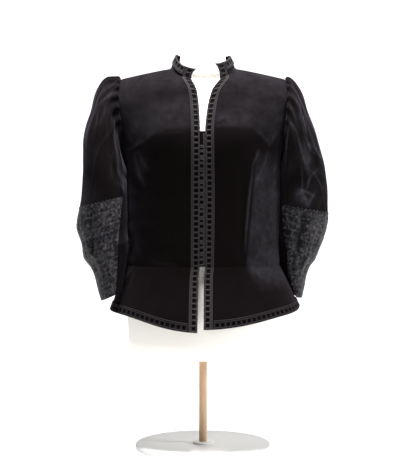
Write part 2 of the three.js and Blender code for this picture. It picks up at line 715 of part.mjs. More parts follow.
// Long folds of the sleeves: from and to along the sleeve, where they start and end round it in
// degrees (0 outside, 90 in front, 180 beside the body, 270 behind), their width and height
const FOLDS = {
  left: [
    { from: 0.03, to: 0.3, start: 28, end: 68, wide: 7, high: 4 },
    { from: 0.03, to: 0.28, start: 58, end: 86, wide: 7, high: 3.5 },
    { from: 0.08, to: 0.44, start: 88, end: 130, wide: 8, high: 4.5 },
    { from: 0.2, to: 0.5, start: 40, end: 48, wide: 9, high: 3 },
    { from: 0.04, to: 0.36, start: 320, end: 292, wide: 8, high: 4 },
    { from: 0.06, to: 0.5, start: 285, end: 255, wide: 9, high: 4 },
    { from: 0.2, to: 0.56, start: 330, end: 322, wide: 9, high: 3 },
    { from: 0.62, to: 0.84, start: 69, end: 62, wide: 10, high: -5 },
    { from: 0.66, to: 0.84, start: 140, end: 132, wide: 9, high: -5 },
    { from: 0.62, to: 0.84, start: 250, end: 258, wide: 10, high: -5 },
  ],
  right: [
    { from: 0.05, to: 0.42, start: 52, end: 82, wide: 7, high: 4 },
    { from: 0.1, to: 0.3, start: 55, end: 64, wide: 6, high: 3 },
    { from: 0.2, to: 0.52, start: 52, end: 47, wide: 7, high: 4 },
    { from: 0.24, to: 0.52, start: 34, end: 34, wide: 7, high: 3.5 },
    { from: 0.05, to: 0.4, start: 300, end: 275, wide: 8, high: 4 },
    { from: 0.12, to: 0.5, start: 318, end: 312, wide: 9, high: 3.5 },
    { from: 0.62, to: 0.86, start: 92, end: 100, wide: 10, high: -6 },
    { from: 0.62, to: 0.84, start: 48, end: 52, wide: 9, high: -4 },
    { from: 0.62, to: 0.84, start: 262, end: 250, wide: 10, high: -5 },
  ],
};

// Gathers of the sleeve's head
const HEAD = { gathers: 13, span: 220, high: 2.6, reach: 0.2 };
const SLEEVE_COLUMNS = 34;
const LACE_COLUMNS = 22;
const UNDER_COLUMNS = 5;

// The lace tiers cover the outside of the sleeve; a plain strip beside the body closes the ring.
// half is that strip's half width in degrees round the sleeve.
const UNDER_SLEEVE = [
  { at: 0.62, half: 40 },
  { at: 0.76, half: 49 },
  { at: 0.9, half: 64 },
  { at: 1, half: 67 },
];
const underHalf = column(UNDER_SLEEVE, "half", "at");
const LACE_GAP = 0.001; // a turn of this size parts the lace from the strip
const laceHalf = (at) => 0.5 - underHalf(at) / 360 - LACE_GAP;
const laceTurns = (at) => range(LACE_COLUMNS).map((t) => laceHalf(at) * (2 * t - 1));
const underTurns = (at) => range(UNDER_COLUMNS).map((t) => 0.5 + (underHalf(at) / 360) * (2 * t - 1));

function sleeveReader(side) {
  const table = SLEEVE[side];
  const read = {};
  for (const key of ["ox", "oz", "ix", "iz", "y", "half"]) read[key] = column(table, key, "at");
  return read;
}

function sleeveSurface(side) {
  const sign = side === "left" ? -1 : 1;
  const read = sleeveReader(side);
  return (turn, at) => {
    const angle = turn * 2 * Math.PI;
    const flat = BESIDE.flat * bell((turn - 0.5) / BESIDE.reach) * smooth(at / BESIDE.from);
    const share = ((1 + Math.cos(angle)) / 2) * (1 - flat);
    let x = mix(read.ix(at), read.ox(at), share);
    const z = mix(read.iz(at), read.oz(at), share);
    const fit = 1 - smooth(at / 0.05);
    x = mix(x, trunkHalf(z) + 0.5, fit);
    const y = read.y(at) - read.half(at) * Math.sin(angle);
    return new THREE.Vector3(sign * x, y, z);
  };
}

// How far the cloth stands out of the plain sleeve at a place
function sleeveRelief(side, turn, at) {
  const degrees = turn * 360;
  const fromTop = degrees > 180 ? degrees - 360 : degrees;
  let relief = 0;
  const half = HEAD.span / 2;
  if (Math.abs(fromTop) <= half && at < SLEEVE_SEAM.lace) {
    const wave = Math.cos(((fromTop + half) / HEAD.span) * HEAD.gathers * 2 * Math.PI);
    const fade = smooth((half - Math.abs(fromTop)) / 20);
    relief += HEAD.high * wave * fade * smooth(at / 0.03) * Math.exp(-((at / HEAD.reach) ** 2));
  }
  for (const f of FOLDS[side]) {
    const t = (at - f.from) / (f.to - f.from);
    if (t <= 0 || t >= 1) continue;
    let off = degrees - mix(f.start, f.end, t);
    if (off > 180) off -= 360;
    if (off < -180) off += 360;
    relief += f.high * bell(off / f.wide) * Math.sin(Math.PI * t) ** 0.6;
  }
  return relief;
}

// Half width of the jacket at a place beside the body
function bodyHalf(side, y, z) {
  const face = y < SIDE_Y ? "front" : "back";
  const half = z < WAIST_Z ? peplumHalf(z) : trunkHalf(z);
  const depth = z < WAIST_Z ? peplumDepth[face](z) : trunkDepth[face](z);
  const cosine = clamp(Math.abs(y - SIDE_Y) / depth, 0, 1) ** (1 / FULLNESS);
  const sine = Math.sqrt(1 - cosine * cosine);
  const fall = clamp((WAIST_Z - z) / (WAIST_Z - HEM.side), 0, 1);
  return half * sine + (HEM_SHIFT[side] + PRESS.hem) * fall * sine * sine;
}

// How far the sleeve is pressed outwards where it lies against the body
function pressed(side, point, at) {
  const over = bodyHalf(side, point.y, point.z) + PRESS.clear - Math.abs(point.x);
  return ((over + Math.hypot(over, PRESS.soft)) / 2) * smooth((at - PRESS.from) / PRESS.from);
}

function sleevePiece(side, name, turns, ats, thick, extra, finish) {
  const surface = sleeveSurface(side);
  const flip = side === "left";
  const ring = Array.isArray(turns);
  const grid = ats.map((at) => (ring ? turns : turns(at)).map((turn) => {
    const relief = sleeveRelief(side, turn, at) + extra(turn, at);
    const outer = moved(surface, turn, at, flip, relief);
    const inner = moved(surface, turn, at, flip, relief - thick);
    const shift = Math.sign(outer.x) * pressed(side, outer, at);
    outer.x += shift;
    inner.x += shift;
    return { outer, inner };
  }));
  addPiece(`${name}_${side}`, wallGeometry(grid, { ring, flip }), finish);
}

function headTurns() {
  const steps = HEAD.gathers * 2;
  const upper = range(steps).map((t) => mix(-HEAD.span / 2, HEAD.span / 2, t) / 360);
  const rest = SLEEVE_COLUMNS - steps;
  const under = range(rest).slice(1, -1).map((t) => mix(HEAD.span / 2, 360 - HEAD.span / 2, t) / 360);
  return [...upper, ...under];
}

const LOWER_GATHERS = { high: 1.7, count: 12 }; // of the lower tier at the cuff

function addSleeves() {
  const none = () => 0;
  const gap = 0.0015;
  const { lace, beading, lower, cuff } = SLEEVE_SEAM;
  const rows = {
    tier: [lace, 0.655, 0.71, beading - gap],
    band: [beading, lower - gap],
    flounce: [lower, 0.845, cuff - gap],
    wrist: [cuff, 0.95, 1],
  };
  const gathers = (turn, at) => {
    const t = clamp((at - lower) / (cuff - lower), 0, 1);
    const wave = Math.cos(turn * LOWER_GATHERS.count * 2 * Math.PI);
    return LOWER_GATHERS.high * wave * smooth(t / 0.4) * t;
  };
  for (const { side } of SIDES) {
    const head = SLEEVE[side].map((row) => row.at).filter((at) => at < lace);
    sleevePiece(side, "sleeve_upper", headTurns(), [...head, lace - gap], CLOTH, none, BLACK_VELVET);
    sleevePiece(side, "lace_upper", laceTurns, rows.tier, LACE, none, CORDED_LACE);
    sleevePiece(side, "beading", laceTurns, rows.band, LACE, none, RIBBON);
    sleevePiece(side, "lace_lower", laceTurns, rows.flounce, LACE, gathers, CORDED_LACE);
    sleevePiece(side, "cuff", laceTurns, rows.wrist, LACE, none, CORDED_LACE);
    const under = [...rows.tier.slice(0, -1), beading, ...rows.flounce.slice(0, -1), ...rows.wrist];
    sleevePiece(side, "under_sleeve", underTurns, under, LACE, none, BLACK_VELVET);
  }
}

// Dress form: the torso under the jacket, its neck, the pole and the base
const FORM_BOTTOM_Z = 227;
const FORM_HIPS = [
  { z: 227, half: 160, front: 88, back: 88 },
  { z: 233, half: 172, front: 97, back: 97 },
  { z: 270, half: 186, front: 107, back: 107 },
  { z: 345, half: 190, front: 110, back: 111 },
  { z: 410, half: 183, front: 101, back: 99 },
  { z: 457, half: 177, front: 95, back: 88 },
];
const FORM_EASE = [
  { z: 457, ease: 14 },
  { z: 600, ease: 13 },
  { z: 722, ease: 10 },
  { z: 825, ease: 7 },
  { z: 880, ease: 5.2 },
  { z: 905, ease: 4.2 },
  { z: 921, ease: 3.1 },
];
const FORM_NECK = [
  { z: 880, half: 56, depth: 40 },
  { z: 920, half: 70, depth: 54 },
  { z: 944, half: 66, depth: 52 },
  { z: 962, half: 58, depth: 50 },
  { z: 984, half: 55, depth: 49 },
];
const FORM_NECK_Y = -5;
const POLE = { radius: 10, foot: 4.3, top: 300, sides: 24 };
const BASE = { radius: 168, thick: 12, boss: 26, bossTop: 17, hole: 10.3, holeFloor: 4 };

// The form falls away from the jacket towards the neck.
function neckEase(w, z) {
  return 8 * (1 - smooth((w - 0.3) / 0.35)) * smooth((z - 860) / 50);
}

// Columns of the form: the panels' own, so that its facets lie under theirs
const FORM_COLUMNS = { front: bodiceColumns("front", 0), back: bodiceColumns("back", 0) };
const FORM_LAST = FORM_COLUMNS.front.length - 1;
const FORM_ROWS = [0, 0.25, ...BODICE_ROWS.filter((v) => v >= 0.5)];

function formSurface(face, side) {
  return (w, v) => {
    const { top, ridge } = columnEnd(face, w, 0);
    const low = WAIST_Z + SEAM / 2;
    const z = v < 0.5 ? mix(low, ARMPIT_Z, v * 2) : mix(ARMPIT_Z, top, (v - 0.5) * 2);
    return trunkPoint({ face, side, w, z, top, ridge, edge: 0 });
  };
}

// One ring, counter-clockwise from above, from the middle of the front
function formRing(point) {
  const steps = Array.from({ length: FORM_LAST + 1 }, (_, k) => k);
  const back = [...steps].reverse();
  return [
    ...steps.map((k) => point("front", 1, k)),
    ...back.map((k) => point("back", 1, k)),
    ...steps.slice(1).map((k) => point("back", -1, k)),
    ...back.slice(0, -1).map((k) => point("front", -1, k)),
  ];
}

function formRings() {
  const hips = {
    half: column(FORM_HIPS, "half"),
    front: column(FORM_HIPS, "front"),
    back: column(FORM_HIPS, "back"),
  };
  const ease = column(FORM_EASE, "ease");
  const hipRings = FORM_HIPS.slice(0, -1).map(({ z }) => formRing((face, sign, k) => {
    const angle = (FORM_COLUMNS[face][k] * Math.PI) / 2;
    const y = hips[face](z) * signedPower(Math.cos(angle), FULLNESS);
    return new THREE.Vector3(sign * hips.half(z) * Math.sin(angle), SIDE_Y + (face === "front" ? -y : y), z);
  }));
  const bodyRings = FORM_ROWS.map((v) => formRing((face, sign, k) => {
    const w = FORM_COLUMNS[face][k];
    if (v === 1 && k >= NECK_STEPS) {
      const seam = FORM_COLUMNS.back[k];
      const x = topX("back", seam, 0);
      const z = ridgeHeight("back", x);
      return new THREE.Vector3(sign * x, SIDE_Y, z - ease(z) - neckEase(seam, z));
    }
    const surface = formSurface(face, sign < 0 ? "left" : "right");
    const outward = (face === "front") === (sign > 0);
    const { z } = surface(w, v);
    return moved(surface, w, v, !outward, -ease(z) - neckEase(w, z));
  }));
  return [...hipRings, ...bodyRings];
}

// A closed body through rings; lid names the corners of the last ring that its top is closed over.
function closedLoft(rings, lid = rings[0].map(() => true)) {
  const shell = new Shell();
  const count = rings[0].length;
  for (let i = 0; i < rings.length - 1; i += 1) {
    for (let j = 0; j < count; j += 1) {
      const k = (j + 1) % count;
      shell.quad(rings[i][j], rings[i][k], rings[i + 1][k], rings[i + 1][j]);
    }
  }
  const close = (corners) => {
    const middle = corners.reduce((sum, p) => sum.add(p), new THREE.Vector3()).divideScalar(corners.length);
    corners.forEach((p, j) => shell.triangle(p, corners[(j + 1) % corners.length], middle));
  };
  close([...rings[0]].reverse());
  close(rings[rings.length - 1].filter((_, j) => lid[j]));
  return shell.geometry();
}

function solidOf(geometry) {
  const bare = geometry.index ? geometry : mergeVertices(geometry, 1e-3);
  return new wasm.Manifold(new wasm.Mesh({
    numProp: 3,
    vertProperties: new Float32Array(bare.attributes.position.array),
    triVerts: new Uint32Array(bare.index.array),
  }));
}

function geometryOf(solid) {
  const mesh = solid.getMesh();
  const geometry = new THREE.BufferGeometry();
  geometry.setAttribute("position", new THREE.BufferAttribute(mesh.vertProperties, 3));
  geometry.setIndex(new THREE.BufferAttribute(mesh.triVerts, 1));
  geometry.computeVertexNormals();
  return geometry;
}

function bareCylinder(radius, low, high, sides) {
  const cylinder = new THREE.CylinderGeometry(radius, radius, high - low, sides);
  cylinder.rotateX(Math.PI / 2).translate(0, 0, (low + high) / 2);
  cylinder.deleteAttribute("normal");
  cylinder.deleteAttribute("uv");
  return mergeVertices(cylinder, 1e-3);
}

function neckRings() {
  return FORM_NECK.map(({ z, half, depth }) => range(20).slice(0, -1).map((t) => {
    const angle = t * 2 * Math.PI;
    return new THREE.Vector3(half * Math.cos(angle), FORM_NECK_Y + depth * Math.sin(angle), z);
  }));
}

function addForm() {
  const lid = formRing((face, sign, k) => k < NECK_STEPS || (k === NECK_STEPS && face === "front"));
  const torso = solidOf(closedLoft(formRings(), lid));
  const neck = solidOf(closedLoft(neckRings()));
  const socket = solidOf(bareCylinder(BASE.hole, FORM_BOTTOM_Z - 20, POLE.top + SEAM, POLE.sides));
  addPiece("form_torso", geometryOf(torso.add(neck).subtract(socket)), FORM_JERSEY);
  addPiece("form_pole", bareCylinder(POLE.radius, POLE.foot, POLE.top, POLE.sides), POLE_WOOD);
  const profile = [
    [0, 0],
    [BASE.radius - 3, 0],
    [BASE.radius, 3],
    [BASE.radius, BASE.thick - 4],
    [BASE.radius - 4, BASE.thick],
    [BASE.boss, BASE.thick],
    [BASE.boss - 4, BASE.bossTop],
    [BASE.hole, BASE.bossTop],
    [BASE.hole, BASE.holeFloor],
    [0, BASE.holeFloor],
  ].map(([radius, z]) => new THREE.Vector2(radius, z));
  const base = new THREE.LatheGeometry(profile, 36).rotateX(Math.PI / 2);
  addPiece("form_base", base, BASE_PAINT);
}

addBodice();
addPeplum();
addCollar();
addPlacket();
addFrontBraids();
addHemBraids();
addCollarBraid();
addSleeves();
addForm();

export default part;
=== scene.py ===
"""Black velvet peplum jacket with puffed lace sleeves on a limbless dress form."""

import math

import bmesh
import bpy
import numpy as np
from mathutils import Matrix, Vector


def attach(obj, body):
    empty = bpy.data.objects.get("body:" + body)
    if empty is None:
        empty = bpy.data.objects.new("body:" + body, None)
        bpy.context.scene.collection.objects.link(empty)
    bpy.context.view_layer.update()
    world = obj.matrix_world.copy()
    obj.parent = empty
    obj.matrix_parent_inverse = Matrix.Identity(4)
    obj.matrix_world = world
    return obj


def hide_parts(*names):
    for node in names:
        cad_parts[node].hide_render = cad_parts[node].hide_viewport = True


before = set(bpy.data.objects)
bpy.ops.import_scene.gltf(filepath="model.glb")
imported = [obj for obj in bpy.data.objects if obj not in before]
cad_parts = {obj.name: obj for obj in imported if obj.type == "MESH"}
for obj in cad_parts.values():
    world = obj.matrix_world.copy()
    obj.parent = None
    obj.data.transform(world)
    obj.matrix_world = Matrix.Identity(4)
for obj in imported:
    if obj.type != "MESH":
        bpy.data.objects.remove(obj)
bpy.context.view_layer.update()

# Sizes are in millimetres until a mesh is made.
MM = 0.001
CLOTH = 2.2
LACE = 1.6
BRAID = 1.6
SEAM = 0.3
JOIN = -0.25  # the panels lap by twice this at the side, shoulder and waist seams
SIDE_Y = 2
WAIST_Z = 457
ARMPIT_Z = 722
SHOULDER_Z = 921
ARMHOLE_HALF = 58
NECK_Z = 947
NECK_X = 80
SHOULDER_X = 206
FULLNESS = 0.86

# Height, half width, depth in front, depth behind
TRUNK = [
    (457, 192, 110, 102),
    (520, 190, 114.5, 103),
    (600, 192, 120.5, 107),
    (680, 194, 127, 114),
    (722, 195, 130, 119),
    (770, 198, 128, 124),
    (825, 203, 118, 127),
    (870, 208, 104, 122),
    (921, 206, 92, 106),
    (960, 204, 84, 88),
]
PEPLUM = [
    (300, 249, 158, 157),
    (347, 233, 146, 143),
    (400, 214, 129, 124),
    (457, 192, 110, 102),
]
# Height, distance of the left and of the right front edge from the centre line
FRONT_EDGE = [
    (300, 14, 1),
    (430, 11, 2),
    (457, 8.5, 4.5),
    (620, 8, 6),
    (785, 7.8, 5),
    (836, 9.5, 9.5),
    (884, 14.5, 20.5),
    (916, 29, 42),
]
# Bust and shoulder blades: x, z, width, height, depth
SWELLS = {"front": (88, 768, 62, 70, 15), "back": (84, 830, 60, 80, 5)}
# Waist darts: x and z above, x and z below, width, depth
DARTS = {"front": (95, 735, 92, 470, 9, 2.4), "back": (86, 745, 80, 470, 9, 2.2)}


# Numbers
def mix(a, b, t):
    return a + (b - a) * t


def smooth(t):
    s = np.clip(t, 0, 1)
    return s * s * (3 - 2 * s)


def bell(t):
    return np.exp(-t * t)


def signed_power(v, p):
    return np.sign(v) * np.abs(v) ** p


def column(rows, place):
    """Smooth reading of a table's column, with the slopes of a monotone cubic."""
    xs = np.array([row[0] for row in rows], float)
    ys = np.array([row[place] for row in rows], float)
    steps = np.diff(ys) / np.diff(xs)
    slopes = np.zeros_like(ys)
    slopes[0], slopes[-1] = steps[0], steps[-1]
    for i in range(1, len(ys) - 1):
        a, b = steps[i - 1], steps[i]
        slopes[i] = 0 if a * b <= 0 else 2 * a * b / (a + b)

    def read(x):
        at = np.clip(x, xs[0], xs[-1])
        i = np.clip(np.searchsorted(xs, at, side="left") - 1, 0, len(xs) - 2)
        h = xs[i + 1] - xs[i]
        t = (at - xs[i]) / h
        return (
            (1 + 2 * t) * (1 - t) ** 2 * ys[i]
            + t * (1 - t) ** 2 * h * slopes[i]
            + t * t * (3 - 2 * t) * ys[i + 1]
            + t * t * (t - 1) * h * slopes[i + 1]
        )

    return read


trunk_half = column(TRUNK, 1)
trunk_depth = {"front": column(TRUNK, 2), "back": column(TRUNK, 3)}
peplum_half = column(PEPLUM, 1)
peplum_depth = {"front": column(PEPLUM, 2), "back": column(PEPLUM, 3)}
front_edge = {"left": column(FRONT_EDGE, 1), "right": column(FRONT_EDGE, 2)}

# Trunk
NECK_ROUND = {"front": 1.6, "back": 2}
NECKLINE_Z = {"front": 916, "back": 953}
RIDGE_CENTRE_Z = {"front": 942, "back": 968}
ROLL = {"front": 66, "back": 74}
SIGN = {"left": -1, "right": 1}


def ridge_height(face, x):
    near = mix(RIDGE_CENTRE_Z[face], NECK_Z, (x / NECK_X) ** 2)
    t = np.clip((x - NECK_X) / (SHOULDER_X - NECK_X), 0, 1)
    return np.where(x < NECK_X, near, mix(NECK_Z, SHOULDER_Z, t**1.15))


def roll_at(face, below):
    fall = np.clip(below / ROLL[face], 0, 1)
    return np.sqrt(np.maximum(1 - (1 - fall) ** 2, 1e-6))


def armhole_angle(face, z, top, ridge):
    read = np.minimum(z, top - 2)
    q = np.clip((read - ARMPIT_Z) / (top - ARMPIT_Z), 0, 1)
    depth = 2 * ARMHOLE_HALF * np.sqrt(np.maximum(q * (1 - q), 0))
    reach = trunk_depth[face](read) * roll_at(face, ridge - read)
    return np.arccos(np.clip(depth / reach, 0, 0.95) ** (1 / FULLNESS))


def angle_of(x, half, armhole):
    return np.arcsin(np.clip(x * np.sin(armhole) / half, -1, 1))


def soft_forms(face, x, z):
    sx, sz, wide, tall, deep = SWELLS[face]
    y = deep * bell((x - sx) / wide) * bell((z - sz) / tall)
    x1, z1, x2, z2, wide, deep = DARTS[face]
    along = (z - z2) / (z1 - z2)
    line = mix(x2, x1, along)
    return y - deep * bell((x - line) / wide) * smooth(along / 0.1) * smooth((1 - along) / 0.5)


def trunk_point(face, side, w, z, top, ridge, edge):
    armhole = armhole_angle(face, z, top, ridge)
    half = trunk_half(z)
    angle = mix(angle_of(edge, half, armhole), armhole, w)
    x = SIGN[side] * half * np.sin(angle) / np.sin(armhole)
    y = trunk_depth[face](z) * roll_at(face, ridge - z) * signed_power(np.cos(angle), FULLNESS)
    y = y + soft_forms(face, np.abs(x), z) + JOIN
    return np.stack([x, SIDE_Y + (-y if face == "front" else y), z + 0 * x], -1)


TOP_ANGLE = {
    face: float(armhole_angle(face, SHOULDER_Z, SHOULDER_Z, SHOULDER_Z)) for face in ("front", "back")
}


def column_end(face, w, edge):
    armhole = TOP_ANGLE[face]
    angle = mix(angle_of(edge, SHOULDER_X, armhole), armhole, w)
    x = SHOULDER_X * np.sin(angle) / np.sin(armhole)
    ridge = ridge_height(face, x)
    t = np.clip((x - edge) / (NECK_X - edge), 0, 1)
    top = np.where(x >= NECK_X, ridge, mix(NECKLINE_Z[face], NECK_Z, t ** NECK_ROUND[face]))
    return top, ridge


def neck_column(face, edge):
    armhole = TOP_ANGLE[face]
    start = angle_of(edge, SHOULDER_X, armhole)
    return (angle_of(NECK_X, SHOULDER_X, armhole) - start) / (armhole - start)


def edge_of(face, side):
    return front_edge[side] if face == "front" else (lambda z: 0 * z)


def bodice_surface(face, side):
    edge_at = edge_of(face, side)
    edge = float(edge_at(NECKLINE_Z[face]))

    def point(w, v):
        top, ridge = column_end(face, w, edge)
        low = WAIST_Z + JOIN
        z = np.where(v < 0.5, mix(low, ARMPIT_Z, v * 2), mix(ARMPIT_Z, top, (v - 0.5) * 2))
        return trunk_point(face, side, w, z, top, ridge, edge_at(z))

    return point


def both_sides(surface_of_side):
    left, right = surface_of_side("left"), surface_of_side("right")
    return lambda u, v: np.where((u < 0)[..., None], left(-u, v), right(u, v))


# Peplum
HEM_SIDE = 347
# Dip of the hem at the centre, and how sharply it comes
HEM_DIP = {"front": {"left": (43.5, 3.4), "right": (36, 3)}, "back": {"left": (6, 2), "right": (6, 2)}}
HEM_RISE = {"left": 0, "right": 10}
HEM_RISE_POWER = 16
HEM_SHIFT = {"left": 2, "right": 10}
# Flutes: angle from the centre line, width in degrees, height at the hem
FLUTES = {
    "front": [(66, 13, 5), (38, 12, -2)],
    "back": [(22, 12, 5), (45, 10, -3), (66, 12, 4.5)],
}


def hem_height(face, side, angle):
    dip, power = HEM_DIP[face][side]
    rise = HEM_RISE[side] * np.abs(np.sin(angle)) ** HEM_RISE_POWER
    return HEM_SIDE + rise - dip * np.maximum(np.cos(angle), 0) ** power


def peplum_surface(face, side):
    edge_at = edge_of(face, side)
    start = math.asin(float(edge_at(HEM_SIDE)) / float(peplum_half(HEM_SIDE)))

    def point(w, v):
        low = hem_height(face, side, mix(start, math.pi / 2, w))
        z = mix(low, WAIST_Z - JOIN, v)
        half = peplum_half(z)
        angle = mix(np.arcsin(edge_at(z) / half), math.pi / 2, w)
        degrees = np.degrees(angle)
        flute = sum(high * bell((degrees - at) / wide) for at, wide, high in FLUTES[face])
        flute = flute * np.clip(1 - v, 0, 1.1) ** 1.3
        sine, cosine = np.sin(angle), np.cos(angle)
        x = SIGN[side] * (half + flute) * sine + HEM_SHIFT[side] * (1 - v) * sine * sine
        y = peplum_depth[face](z) * signed_power(cosine, FULLNESS) + flute * cosine + JOIN
        return np.stack([x, SIDE_Y + (-y if face == "front" else y), z + 0 * x], -1)

    return point


# Creases: face, side, from x and z, to x and z, bow, width, height. Minus is a trough.
CREASES = [
    ("front", "left", 192, 752, 168, 698, -4, 6.5, 3.4),
    ("front", "left", 174, 706, 132, 650, 5, 7, 3.2),
    ("front", "left", 180, 738, 150, 764, 6, 9, 2.4),
    ("front", "left", 184, 700, 160, 640, 4, 8, -2.2),
    ("front", "left", 186, 560, 150, 478, -6, 9, 2.2),
    ("front", "left", 168, 520, 176, 462, 3, 6, -1.8),
    ("front", "left", 140, 640, 128, 520, 6, 12, 1.4),
    ("front", "left", 60, 640, 48, 500, -3, 14, -1.1),
    ("front", "left", 30, 700, 78, 640, 4, 12, 0.9),
    ("front", "right", 160, 741, 128, 664, 5, 6, 3.2),
    ("front", "right", 137, 748, 116, 690, 3, 5.5, 2.6),
    ("front", "right", 118, 700, 100, 480, -3, 4.5, 1.9),
    ("front", "right", 190, 752, 172, 690, -4, 8, 2.4),
    ("front", "right", 182, 660, 150, 560, 6, 12, 1.5),
    ("front", "right", 186, 540, 146, 478, -5, 8, 2.4),
    ("front", "right", 150, 500, 122, 466, 3, 6, -1.8),
    ("front", "right", 27, 806, 58, 838, 3, 3.6, 2),
    ("front", "right", 27, 797, 62, 818, 3, 3.4, 1.8),
    ("front", "right", 26, 788, 54, 800, 2, 3.2, 1.5),
    ("front", "right", 70, 620, 56, 500, 3, 15, -1.1),
    ("back", "left", 188, 745, 150, 690, 5, 8, 3),
    ("back", "left", 176, 620, 130, 500, -6, 12, 1.8),
    ("back", "left", 120, 800, 60, 730, 6, 14, 1.4),
    ("back", "left", 30, 560, 10, 470, 2, 12, -1.5),
    ("back", "left", 64, 540, 40, 480, 2, 8, 1.5),
    ("back", "right", 190, 752, 148, 680, -5, 8, 3),
    ("back", "right", 170, 600, 140, 490, 6, 12, 1.8),
    ("back", "right", 110, 810, 70, 720, -6, 14, 1.2),
    ("back", "right", 46, 550, 22, 478, -2, 10, 1.6),
]
PEPLUM_CREASES = [
    ("front", "left", 182, 452, 204, 392, 4, 5, 2.4),
    ("front", "left", 172, 452, 192, 400, -3, 5, -1.8),
    ("front", "left", 120, 452, 130, 400, 3, 8, 1.2),
    ("front", "left", 60, 452, 62, 390, 2, 9, -1),
    ("front", "right", 166, 452, 186, 396, -4, 6, 2),
    ("front", "right", 120, 452, 138, 380, 4, 10, 1.8),
    ("front", "right", 88, 452, 96, 390, 2, 7, 1.2),
    ("back", "left", 90, 452, 104, 380, 3, 9, 2),
    ("back", "left", 160, 452, 180, 400, 3, 7, 2),
    ("back", "right", 84, 452, 92, 376, -3, 9, 2),
    ("back", "right", 164, 452, 184, 404, -3, 7, 2),
]


def crease_height(rows, face, side, x, z):
    height = np.zeros(np.broadcast(x, z).shape)
    for of_face, of_side, x1, z1, x2, z2, bow, wide, high in rows:
        if (of_face, of_side) != (face, side):
            continue
        length = math.hypot(x2 - x1, z2 - z1)
        ax, az = (x2 - x1) / length, (z2 - z1) / length
        t = ((x - x1) * ax + (z - z1) * az) / length
        inside = np.clip(t, 0, 1)
        off = (x - x1) * -az + (z - z1) * ax - bow * 4 * inside * (1 - inside)
        height = height + high * bell(off / wide) * np.sin(math.pi * inside) ** 0.7
    return height


def slack(x, z, seed):
    """Unevenness of cloth that hangs free, from a few long waves."""
    total = 0
    for k in range(6):
        turn = seed * 1.7 + k * 2.4
        reach = 44 + 17 * k
        total = total + np.sin((x * math.cos(turn) + z * math.sin(turn)) / reach * 2 * math.pi + turn * 5)
    return 0.16 * total


def seam_dip(distance, deep=1.3, reach=5.5):
    """Cloth is drawn in next to a seam."""
    return -deep * np.exp(-((np.maximum(distance, 0) / reach) ** 1.5))


class Cloth:
    """A surface of (u, v) with its outward side and its relief of (u, v, point)."""

    def __init__(self, surface, flip, relief):
        self.surface, self.flip, self.relief = surface, flip, relief

    def at(self, u, v, out=0):
        u, v = np.broadcast_arrays(np.asarray(u, float), np.asarray(v, float))
        step = 1e-4
        points = self.surface(u, v)
        along = self.surface(u + step, v) - self.surface(u - step, v)
        up = self.surface(u, v + step) - self.surface(u, v - step)
        normal = np.cross(along, up)
        normal /= np.linalg.norm(normal, axis=-1, keepdims=True)
        if self.flip:
            normal = -normal
        return points + normal * (self.relief(u, v, points) + out)[..., None]


def bodice_relief(face, side):
    seed = {"left": 1, "right": 2}[side] + (4 if face == "back" else 0)

    def relief(w, v, p):
        x, z = np.abs(p[..., 0]), p[..., 2]
        height = crease_height(CREASES, face, side, x, z)
        free = smooth((z - WAIST_Z) / 30) * smooth((1 - np.abs(w)) / 0.06) * smooth((1 - v) / 0.05)
        if face == "front":
            free = free * smooth((np.abs(w) - 0.12) / 0.08)
        height = (height + slack(x * SIGN[side], z, seed)) * free
        height = height + seam_dip(z - WAIST_Z, 0.7)
        reach = (1 - np.abs(w)) * 190
        return height + seam_dip(reach, 1.1, 5)

    return relief


def back_relief(kind):
    left, right = kind("back", "left"), kind("back", "right")
    return lambda u, v, p: np.where(u < 0, left(-u, v, p), right(u, v, p))


def peplum_relief(face, side):
    seed = {"left": 7, "right": 9}[side] + (4 if face == "back" else 0)

    def relief(w, v, p):
        x, z = np.abs(p[..., 0]), p[..., 2]
        height = crease_height(PEPLUM_CREASES, face, side, x, z)
        free = smooth((1 - v) / 0.12) * smooth(v / 0.3)
        if face == "front":
            free = free * smooth((np.abs(w) - 0.1) / 0.08)
        height = (height + slack(x * SIGN[side], z, seed)) * free
        return height + seam_dip((1 - v) * 120, 0.7) + seam_dip((1 - np.abs(w)) * 300, 0.8, 5)

    return relief


def front_cloth(side):
    return Cloth(bodice_surface("front", side), side == "left", bodice_relief("front", side))


def peplum_cloth(side):
    return Cloth(peplum_surface("front", side), side == "left", peplum_relief("front", side))


BACK_CLOTH = Cloth(both_sides(lambda side: bodice_surface("back", side)), True, back_relief(bodice_relief))
BACK_PEPLUM = Cloth(both_sides(lambda side: peplum_surface("back", side)), True, back_relief(peplum_relief))
FRONT_CLOTH = {side: front_cloth(side) for side in SIGN}
FRONT_PEPLUM = {side: peplum_cloth(side) for side in SIGN}


# Meshes
def new_piece(name, points, faces, values=None):
    """A mesh of points in millimetres. values are kept as its tone attribute."""
    mesh = bpy.data.meshes.new(name)
    mesh.from_pydata((np.asarray(points) * MM).tolist(), [], faces)
    if values is not None:
        mark = mesh.attributes.new("tone", "FLOAT", "POINT")
        mark.data.foreach_set("value", np.asarray(values, np.float32))
    mesh.validate()
    obj = bpy.data.objects.new(name, mesh)
    bpy.context.collection.objects.link(obj)
    return obj


def select(*objects):
    """Selects these alone, the first of them active."""
    bpy.ops.object.select_all(action="DESELECT")
    for obj in objects:
        obj.select_set(True)
    if objects:
        bpy.context.view_layer.objects.active = objects[0]


def soften(obj, degrees=40):
    select(obj)
    bpy.ops.object.shade_smooth_by_angle(angle=math.radians(degrees))


